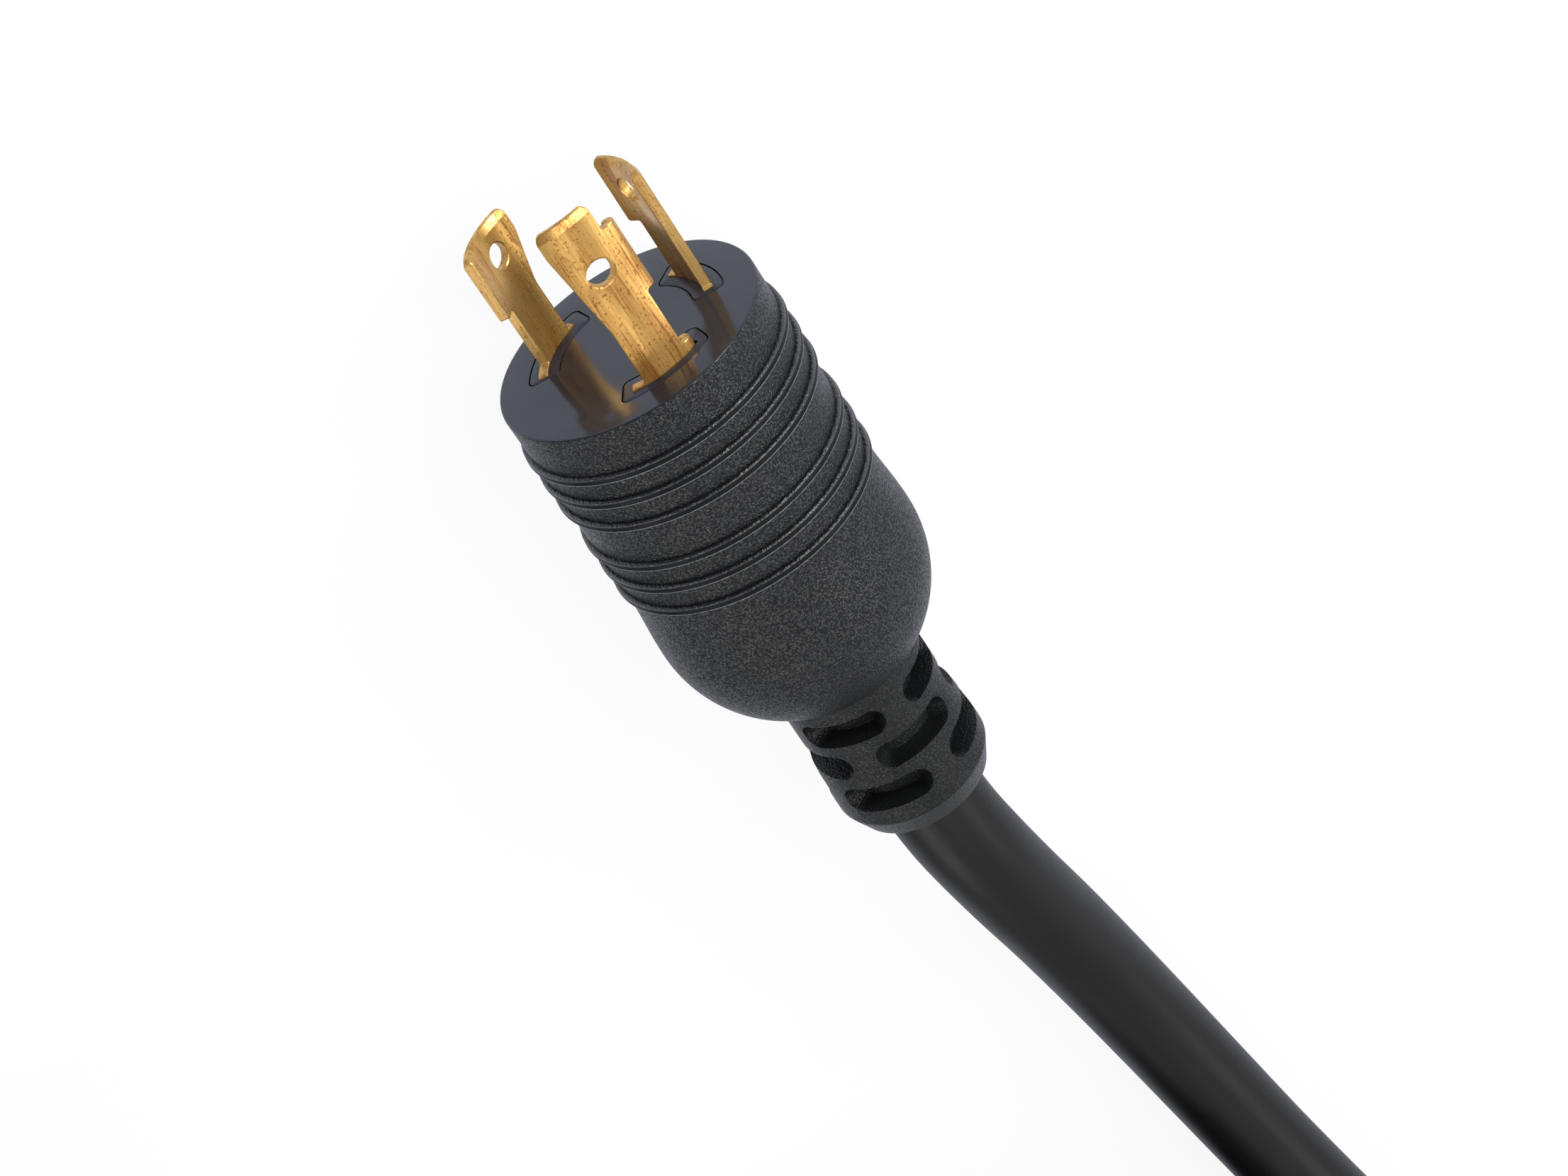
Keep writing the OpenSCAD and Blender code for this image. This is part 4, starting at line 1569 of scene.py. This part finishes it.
@dataclass
class LoadEnd(MouldedEnd):
    """The load end of the cord: a moulded connector with a nose, grip rings and a boot."""

    body_r: float = 24.5
    straight: float = 37.0
    dome_r: float = 25.2
    boot_end: float = 100.37
    swell_steps: int = 16
    dome_steps: int = 48
    rings: GripRings = field(
        default_factory=lambda: GripRings(base_r=24.5, first=24.0, groups=1, group_pitch=0.0)
    )
    carrier_r: float = 17.05
    carrier_depth: float = 1.5
    nose_r: float = 20.0
    nose_len: float = 16.5
    body_from: float = 2.5
    flange_r: float = 22.3
    flange: Flat = (8.5, 11.5)
    edge: float = 0.2
    soft: float = 0.5
    around: int = 192

    def profile(self) -> list[Flat]:
        """Give the turned profile from the carrier's edge to inside the boot.

        Returns:
            Distances behind the connector's face, and radii.
        """
        edge, soft, (front, back) = self.edge, self.soft, self.flange
        points = [
            (self.carrier_depth, self.carrier_r),
            (edge, self.carrier_r),
            (0.0, self.carrier_r + edge),
            (0.0, self.nose_r - soft),
            (EASED * soft, self.nose_r - EASED * soft),
            (soft, self.nose_r),
            (front, self.nose_r),
            (front, self.flange_r - edge),
            (front + edge, self.flange_r),
            (back - edge, self.flange_r),
            (back, self.flange_r - edge),
            (back, self.nose_r),
            (self.nose_len, self.nose_r),
            (self.nose_len, self.body_r - 2 * soft),
            (self.nose_len + EASED * 2 * soft, self.body_r - EASED * 2 * soft),
            (self.nose_len + 2 * soft, self.body_r),
        ]
        straight = np.arange(self.nose_len + self.body_from, self.straight, self.body_step)
        return points + [(s, self.body_r) for s in straight] + self.rear()

    def build(self, finishes: "Finishes") -> list[Piece]:
        """Make and dress every piece of the connector's outside.

        Args:
            finishes: the finishes to use.

        Returns:
            The pieces.
        """
        bm = bmesh.new()
        add_lathe(bm, self.axis, self.profile(), around=self.around)
        body = make_piece("connector-moulding", bm)
        finishes.grained.on(body)
        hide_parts("connector_body")
        rings = self.rings.build("connector-grip-rings", self.axis, finishes.ring)
        boot = self.build_boot("connector-boot", finishes)
        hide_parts("connector_relief")
        for piece in (body, rings, boot):
            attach(piece, CORD_BODY)
        return [body, rings, boot]


# The cord


@dataclass
class Cord:
    """The cord's route and jacket: out of the boot, down to the floor, coiled, and up to the load end."""

    diameter: float = 17.0
    length: float = 4.43
    lead: tuple = (
        (63, 0, 22.5), (67, 0, 22.5), (74, 0.4, 22.2), (82, 1.3, 21.2), (95, 3, 18.2), (110, 5.2, 14.5),
        (127, 7.5, 11.2), (145, 9.9, 9.2), (164, 12.5, 8.8), (186, 15.6, 9), (202, 18.2, 9.8),
    )
    tail: tuple = (
        (212, -211.3, 27.9), (190, -205.6, 27.2), (168, -199, 26.3), (152, -195.8, 25.7),
        (142, -195, 25.5), (134, -195, 25.5),
    )
    coil_centre: Flat = (257.0, -94.0)
    loops: int = 7
    start_angle: float = 98.0
    extra_turn: float = 188.0
    mean_r: float = 86.5
    pitch: float = 17.5
    low_z: float = 10.7
    run: float = 17.0
    climb: float = 180.0
    step: float = 4.0
    coil_step: float = 2.5
    sides: int = 48

    @property
    def total(self) -> float:
        """The whole angle that the coil turns through, in degrees."""
        return 360.0 * self.loops + self.extra_turn

    def coil_point(self, a: float) -> np.ndarray:
        """Give a point of the coil, which runs inwards on the floor and then outwards on top.

        Args:
            a: the angle that the coil has turned through, in degrees.

        Returns:
            The point, in mm.
        """
        inner = self.mean_r - self.pitch * self.total / 360 / 4
        r = inner + self.pitch * abs(a - self.total / 2) / 360
        lift = min(1.0, max(0.0, (a - self.total / 2 + self.climb / 2) / self.climb))
        turn = math.radians(self.start_angle - a)
        return np.array(
            (
                self.coil_centre[0] + r * math.cos(turn),
                self.coil_centre[1] + r * math.sin(turn),
                self.low_z + self.pitch * (1 - math.cos(math.pi * lift)) / 2,
            )
        )

    def route(self) -> np.ndarray:
        """Join the lead, the coil and the tail.

        Returns:
            The whole route's points, in metres.
        """
        angles = np.linspace(0, self.total, round(self.total / self.coil_step))
        coil = np.array([self.coil_point(a) for a in angles])
        first = math.radians(self.start_angle)
        last = math.radians(self.start_angle - self.total)
        arrive = coil[0] - self.run * np.array((math.sin(first), -math.cos(first), 0))
        leave = coil[-1] + self.run * np.array((math.sin(last), -math.cos(last), 0))
        lead = np.array(self.lead, float)
        tail = np.array(self.tail, float)
        inward = spline(np.vstack((2 * lead[0] - lead[1], lead, arrive, coil[0], coil[3])), self.step)
        outward = spline(np.vstack((coil[-4], coil[-1], leave, tail, 2 * tail[-1] - tail[-2])), self.step)
        return np.vstack((inward[:-1], coil, outward[1:])) * MM

    def tree(self) -> bpy.types.NodeTree:
        """Build the tree that sweeps a round section along the route.

        Returns:
            The tree.
        """
        tree, given = new_tree(
            "jacket_sweep",
            {"Radius": Setting.SIZE, "Sides": Setting.COUNT, "Material": Setting.MATERIAL},
        )
        section = add_node(
            tree,
            "GeometryNodeCurvePrimitiveCircle",
            {"Resolution": given["Sides"], "Radius": given["Radius"]},
        )
        tube = add_node(
            tree,
            "GeometryNodeCurveToMesh",
            {"Curve": given["Geometry"], "Profile Curve": section.outputs[0], "Fill Caps": True},
        )
        smooth = add_node(tree, "GeometryNodeSetShadeSmooth", {0: tube.outputs[0]})
        end_tree(tree, smooth.outputs[0], given["Material"])
        return tree

    def build(self, finish: Finish) -> tuple[Piece, np.ndarray]:
        """Sweep the jacket along the route.

        Args:
            finish: the jacket's finish.

        Returns:
            The cord, and the points that it follows.
        """
        route = self.route()
        curve = bpy.data.curves.new("route", "CURVE")
        curve.dimensions = "3D"
        curve.twist_mode = "MINIMUM"
        line = curve.splines.new("POLY")
        line.points.add(len(route) - 1)
        line.points.foreach_set("co", np.hstack((route, np.ones((len(route), 1)))).ravel())
        base = link(bpy.data.objects.new("route", curve))
        values = {"Radius": self.diameter / 2 * MM, "Sides": self.sides, "Material": finish.material()}
        cord = grow("cord-jacket", self.tree(), values, base)
        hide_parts("cord_lead", "cord_coil", "cord_tail")
        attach(cord, CORD_BODY)
        return cord, route

    def turns_at(self, angle: float) -> np.ndarray:
        """Give where the cord passes an angle round the coil.

        Args:
            angle: the angle from +X towards +Y, in degrees.

        Returns:
            Each turn's radius and height, in mm.
        """
        passes = []
        for a in np.arange((self.start_angle - angle) % 360, self.total, 360):
            x, y, z = self.coil_point(a)
            passes.append((math.hypot(x - self.coil_centre[0], y - self.coil_centre[1]), z))
        return np.array(passes)


@dataclass
class CoilTie:
    """A hook-and-loop strap round the coil's turns, with its free end lapped over it.

    The lap and its rise are shares of the girth: where it climbs over the start, and over what run.
    """

    node: str
    angle: float
    cord: Cord
    width: float = 25.0
    thick: float = 1.1
    edge: float = 0.25
    lap: float = 0.24
    lap_from: float = 0.62
    lap_rise: Flat = (0.97, 0.06)
    lap_play: float = 0.05
    play: float = 0.15
    steps: int = 160
    cord_steps: int = 48

    def hull(self) -> np.ndarray:
        """Give the tight line round the turns at the strap's middle and edges.

        Returns:
            The line's points in radius and height, at even steps, in mm.
        """
        clear = self.cord.diameter / 2 + self.play
        lean = math.asin(self.width / 2 / self.cord.mean_r)
        cloud = [
            (r * math.cos(lean * side) + clear * math.cos(t), z + clear * math.sin(t))
            for side in (-1, 0, 1)
            for r, z in self.cord.turns_at(self.angle + math.degrees(lean * side))
            for t in np.linspace(0, 2 * math.pi, self.cord_steps, endpoint=False)
        ]
        cloud = sorted(set((round(x, 4), round(y, 4)) for x, y in cloud))
        halves = []
        for part in (cloud, cloud[::-1]):
            chain: list[Flat] = []
            for p in part:
                while len(chain) > 1 and turn_of(chain[-2], chain[-1], p) <= 0:
                    chain.pop()
                chain.append(p)
            halves += chain[:-1]
        loop = np.array(halves + halves[:1])
        gone = np.concatenate(([0], np.cumsum(np.linalg.norm(np.diff(loop, axis=0), axis=1))))
        even = np.linspace(0, gone[-1], self.steps, endpoint=False)
        return np.stack([np.interp(even, gone, loop[:, k]) for k in (0, 1)], axis=1)

    def build(self, finishes: "Finishes") -> Piece:
        """Wrap the strap round the turns.

        Args:
            finishes: the finishes to use.

        Returns:
            The strap.
        """
        hull = self.hull()
        count = len(hull)
        ahead = np.roll(hull, -1, axis=0) - np.roll(hull, 1, axis=0)
        out = np.stack((ahead[:, 1], -ahead[:, 0]), axis=1)
        out /= np.linalg.norm(out, axis=1)[:, None]
        turn = math.radians(self.angle)
        radial = Vector((math.cos(turn), math.sin(turn), 0))
        across = Vector((-math.sin(turn), math.cos(turn), 0))
        centre = Vector((*self.cord.coil_centre, 0))
        bm = bmesh.new()
        flat = bm.loops.layers.uv.new(STRAP_MAP)
        first = round(self.lap_from * count)
        steps = round((1 + self.lap) * count)
        girth = np.linalg.norm(np.diff(np.vstack((hull, hull[:1])), axis=0), axis=1).sum()
        half, edge, thick = self.width / 2, self.edge, self.thick
        section = [
            (-half, edge), (edge - half, 0), (0, 0), (half - edge, 0), (half, edge),
            (half, thick - edge), (half - edge, thick), (0, thick), (edge - half, thick),
            (-half, thick - edge),
        ]
        rise_from, rise_run = (share * count for share in self.lap_rise)
        rows = []
        for i in range(steps + 1):
            k = (first + i) % count
            lift = (thick + self.lap_play) * ease((i - rise_from) / rise_run)
            row = []
            for side, depth in section:
                r, z = hull[k] + out[k] * (lift + depth)
                row.append((centre + radial * r + across * side + Vector((0, 0, z))) * MM)
            rows.append(row)
        verts = add_grid(bm, rows, True, False)
        bm.faces.new(verts[0])
        bm.faces.new(verts[-1])
        spot = {}
        for i, row in enumerate(verts):
            for vert, (side, depth) in zip(row, section):
                spot[vert] = (i / count * girth * MM, (side + depth) * MM)
        for face in bm.faces:
            for corner in face.loops:
                corner[flat].uv = spot[corner.vert]
        strap = make_piece(self.node.replace("_", "-") + "-strap", bm, sharp=50)
        finishes.strap.on(strap)
        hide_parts(self.node)
        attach(strap, CORD_BODY)
        return strap


# Finishes in use, inner parts, light and camera


@dataclass
class Finishes:
    """Every finish of the cord, each named for what the real one is."""

    plug_face_x: float
    grained: Finish = MouldedRubber("leather_grained_neoprene", "#141517", bloom="#1d1e20")
    ring: Finish = RingRubber("smooth_neoprene_rings", "#151618")
    boot: Finish = MouldedRubber(
        "fine_grained_neoprene", "#111213", bloom="#1a1b1c", depth=0.12, shine=(0.18, 0.42)
    )
    # The chamfer's rubber is painted lighter, standing in for the light it catches from below and behind.
    painted_light_rim: Finish = MouldedRubber(
        "neoprene_rim_painted_light", "#2b2c2e", bloom="#363739", depth=0.12, shine=(0.18, 0.42)
    )
    face: Finish = SatinMoulding(
        "polished_face_moulding", "#1b1e25", dust="#2a2e36", rough=(0.1, 0.18), shine=0.51, tint="#f2f4ff"
    )
    pad: Finish = SatinMoulding(
        "glass_filled_nylon_pads", "#1e212a", dust="#30343d", rough=(0.3, 0.42), shine=0.42, tint="#f2f4ff",
        wave=0.03,
    )
    collar: Finish = SatinMoulding(
        "acetal_locking_collar", "#1c1d1f", dust="#2a2b2d", rough=(0.32, 0.45), shine=0.45, wave=0.02
    )
    core: Finish = SatinMoulding("nylon_core", "#3a3d42", dust="#4a4d52", rough=(0.35, 0.5), wave=0.02)
    socket: Finish = SatinMoulding("nylon_socket_carrier", "#2a2c30", dust="#393c41", rough=(0.3, 0.45))
    gasket: Finish = MouldedRubber("soft_neoprene_gasket", "#232425", grain=0.3, depth=0.03)
    jacket: Finish = ExtrudedJacket("extruded_cord_jacket", "#0d0d0d", scuff="#151414", shine=0.26)
    strap: Finish = WovenStrap("woven_hook_and_loop", "#232428")
    contact: Finish = DrawnBrass("drawn_brass_contacts", "#d6a85a")
    copper: Finish = StrandedCopper("stranded_copper", "#c9743f")
    sheared: Finish = DrawnBrass(
        "sheared_brass_edges", "#e2b971", tarnish="#9a6a2a", rough=(0.4, 0.56), film=(0.7, 0.4)
    )
    blade: Finish = field(init=False)

    def __post_init__(self) -> None:
        """Set the finish that depends on where the plug's face is."""
        self.blade = DrawnBrass("drawn_brass_blades", "#dbae64", root_x=self.plug_face_x)

    def insulation(self, lead: Lead) -> Finish:
        """Give the insulation's finish for a conductor.

        Args:
            lead: the conductor.

        Returns:
            The finish.
        """
        colours = {
            Lead.LINE: ("black_insulation", "#1c1c1d", "#2e2e2f"),
            Lead.NEUTRAL: ("white_insulation", "#d8d6cf", "#c6c3ba"),
            Lead.GROUND: ("green_insulation", "#2f6b3a", "#275a31"),
        }
        name, colour, scuff = colours[lead]
        return ExtrudedJacket(name, colour, scuff=scuff)

    def dress_nodes(self, nodes: dict[str, Piece]) -> None:
        """Dress the CAD nodes that stay: cores, jackets, wires, insulation, contacts and the socket.

        Args:
            nodes: the CAD nodes' objects by name.
        """
        chosen: dict[str, Finish] = {
            "plug_core": self.core,
            "connector_core": self.core,
            "socket_plate": self.socket,
            "contact_carrier": self.socket,
            "socket_back": self.socket,
            "plug_jacket": self.jacket,
            "connector_jacket": self.jacket,
            "face_gasket": self.gasket,
        }
        for lead in Lead:
            chosen[f"{lead.value}_wire"] = self.copper
            chosen[f"{lead.value}_end_wire"] = self.copper
            chosen[f"{lead.value}_insulation"] = self.insulation(lead)
            chosen[f"{lead.value}_end_insulation"] = self.insulation(lead)
            chosen[f"{lead.value}_contact"] = self.contact
        for node, finish in chosen.items():
            finish.on(nodes[node])
            LOG.info("dressed CAD node %s", node)


@dataclass(frozen=True)
class SoftBox:
    """A soft lamp: its direction from the plug, its distance and size in metres, and its power in watts."""

    name: str
    way: tuple[float, float, float]
    watts: float
    distance: float = 1.3
    size: Flat = (0.6, 0.4)

    def hang(self, plug: Axis) -> None:
        """Hang the lamp so that it faces the plug.

        Args:
            plug: the plug's axis.
        """
        data = bpy.data.lights.new(self.name, "AREA")
        data.shape = "RECTANGLE"
        data.size, data.size_y = self.size
        data.energy = self.watts
        lamp = link(bpy.data.objects.new(self.name, data))
        aim = Vector(self.way).normalized()
        lamp.location = plug.at(PLUG_MIDDLE, 0, 0) + aim * self.distance
        lamp.rotation_euler = aim.to_track_quat("Z", "Y").to_euler()


@dataclass
class Studio:
    """The camera, a plain pale floor and soft light round the plug."""

    plug: Axis
    eye: tuple = (-268.66, 0.10, 481.98)
    right: tuple = (0.46400, 0.83128, 0.30606)
    up: tuple = (-0.69158, 0.55585, -0.46125)
    back: tuple = (-0.55355, 0.00236, 0.83281)
    lens: float = 86.585
    sensor: float = 36.0
    floor_half: float = 8.0
    paper: str = "#f2f2f2"
    cool: str = "#e9edfb"
    shadow_share: float = 0.08
    dim_share: float = 0.15
    dim_span: Flat = (-150.0, -60.0)
    front_light: float = 0.13
    rear_light: float = 0.46
    rear_way: tuple = (0.9, 0.2, 0.38)
    rear_full: float = 0.8
    lamps: tuple[SoftBox, ...] = (
        SoftBox("top_box", (-0.3, 0.35, 0.88), 12.5, 1.5, (0.9, 0.9)),
        SoftBox("front_box", (-0.4, 0.75, 0.5), 10.5),
        SoftBox("rear_box", (0.5, 0.65, 0.57), 2.8),
        SoftBox("back_box", (0.55, 0.0, 0.83), 1.6),
        SoftBox("left_box", (0.65, -0.62, 0.42), 2.8),
        SoftBox("side_box", (0.1, -0.9, 0.4), 4.5),
    )

    def build_camera(self) -> None:
        """Make the camera at the photograph's viewing angle."""
        data = bpy.data.cameras.new("camera")
        data.lens = self.lens
        data.sensor_width = self.sensor
        data.sensor_fit = "HORIZONTAL"
        data.clip_start = 0.01
        camera = link(bpy.data.objects.new("camera", data))
        place = self.plug.at(0, 0, 0) + Vector(self.eye) * MM
        turn = Matrix((self.right, self.up, self.back)).transposed().to_4x4()
        camera.matrix_world = Matrix.Translation(place) @ turn
        bpy.context.scene.camera = camera

    def build_floor(self) -> None:
        """Make the floor: white to the camera with a faint shadow, cool and dim in reflections."""
        bm = bmesh.new()
        half = self.floor_half
        corners = [(-half, -half, 0), (half, -half, 0), (half, half, 0), (-half, half, 0)]
        bm.faces.new([bm.verts.new(c) for c in corners])
        floor = make_piece("floor", bm)
        made = bpy.data.materials.new("white_paper_sweep")
        tree = bare_tree(made)
        paper = add_node(tree, "ShaderNodeBsdfDiffuse", {"Color": rgb(self.paper)})
        place = add_node(tree, "ShaderNodeTexCoord").outputs["Object"]
        across = add_node(tree, "ShaderNodeSeparateXYZ", {"Vector": place}).outputs["Y"]
        dim, full = (self.plug.y + y * MM for y in self.dim_span)
        span = {"Value": across, "From Min": dim, "From Max": full, "To Min": self.dim_share}
        lit = add_node(tree, "ShaderNodeMapRange", span).outputs[0]
        path = add_node(tree, "ShaderNodeLightPath").outputs
        hue: object = rgb("#000000")
        for factor, colour in ((lit, self.cool), (path["Is Camera Ray"], "#ffffff")):
            ends = {0: factor, 6: hue, 7: rgb(colour)}
            hue = add_node(tree, "ShaderNodeMix", ends, data_type="RGBA").outputs[2]
        glow = add_node(tree, "ShaderNodeEmission", {"Color": hue, "Strength": 1.0})
        share = path["Is Camera Ray"]
        for operation, value in (
            ("MAXIMUM", path["Is Glossy Ray"]),
            ("MAXIMUM", path["Is Transmission Ray"]),
            ("MULTIPLY", 1 - self.shadow_share),
        ):
            share = add_node(tree, "ShaderNodeMath", {0: share, 1: value}, operation=operation).outputs[0]
        mix = add_node(tree, "ShaderNodeMixShader", {0: share, 1: paper.outputs[0], 2: glow.outputs[0]})
        add_node(tree, "ShaderNodeOutputMaterial", {"Surface": mix.outputs[0]})
        floor.data.materials.append(made)

    def build_world(self) -> None:
        """Make a world that is white to the camera: a bright sweep behind, dim on the camera's side."""
        world = bpy.data.worlds.new("studio")
        tree = bare_tree(world)
        way = add_node(tree, "ShaderNodeTexCoord").outputs["Generated"]
        rear_way = Vector(self.rear_way).normalized()
        rear = add_node(tree, "ShaderNodeVectorMath", {0: way, 1: rear_way}, operation="DOT_PRODUCT")
        span = {"Value": rear.outputs["Value"], "From Max": self.rear_full}
        ends = {"To Min": self.front_light, "To Max": self.rear_light}
        glow = add_node(tree, "ShaderNodeMapRange", {**span, **ends}, interpolation_type="SMOOTHSTEP")
        direct = add_node(tree, "ShaderNodeLightPath").outputs["Is Camera Ray"]
        level = add_node(tree, "ShaderNodeMath", {0: direct, 1: glow.outputs[0]}, operation="MAXIMUM")
        light = {"Color": rgb("#ffffff"), "Strength": level.outputs[0]}
        sky = add_node(tree, "ShaderNodeBackground", light)
        add_node(tree, "ShaderNodeOutputWorld", {"Surface": sky.outputs[0]})
        bpy.context.scene.world = world

    def build_light(self) -> None:
        """Hang the soft boxes: a large one above, one right in front, and faint ones behind and left."""
        for lamp in self.lamps:
            lamp.hang(self.plug)


def main() -> None:
    """Build the camera and cord first, then the plug, the load end, the ties and the studio."""
    logging.basicConfig(level=logging.INFO, format="%(name)s: %(message)s")
    bpy.context.scene.view_settings.view_transform = "Standard"
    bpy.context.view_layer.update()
    plug_axis = Axis.of("plug_body")
    load_axis = Axis.of("connector_body")
    studio = Studio(plug_axis)
    studio.build_camera()
    finishes = Finishes(plug_axis.x)
    cord = Cord()
    jacket, route = cord.build(finishes.jacket)
    LOG.info("the jacket follows %d points", len(route))
    plug_pieces = Plug(plug_axis).build(finishes)
    load_pieces = LoadEnd(load_axis).build(finishes) + LockingRing(load_axis).build(finishes)
    ties = [
        CoilTie(node, angle, cord).build(finishes)
        for node, angle in (("coil_tie_a", 20.0), ("coil_tie_b", 200.0))
    ]
    for piece in [jacket] + plug_pieces + load_pieces + ties:
        LOG.info("made %s", piece.name)
    nodes = frame["nodes"]
    finishes.dress_nodes(nodes)
    studio.build_floor()
    studio.build_world()
    studio.build_light()


if __name__ == "__main__":
    main()
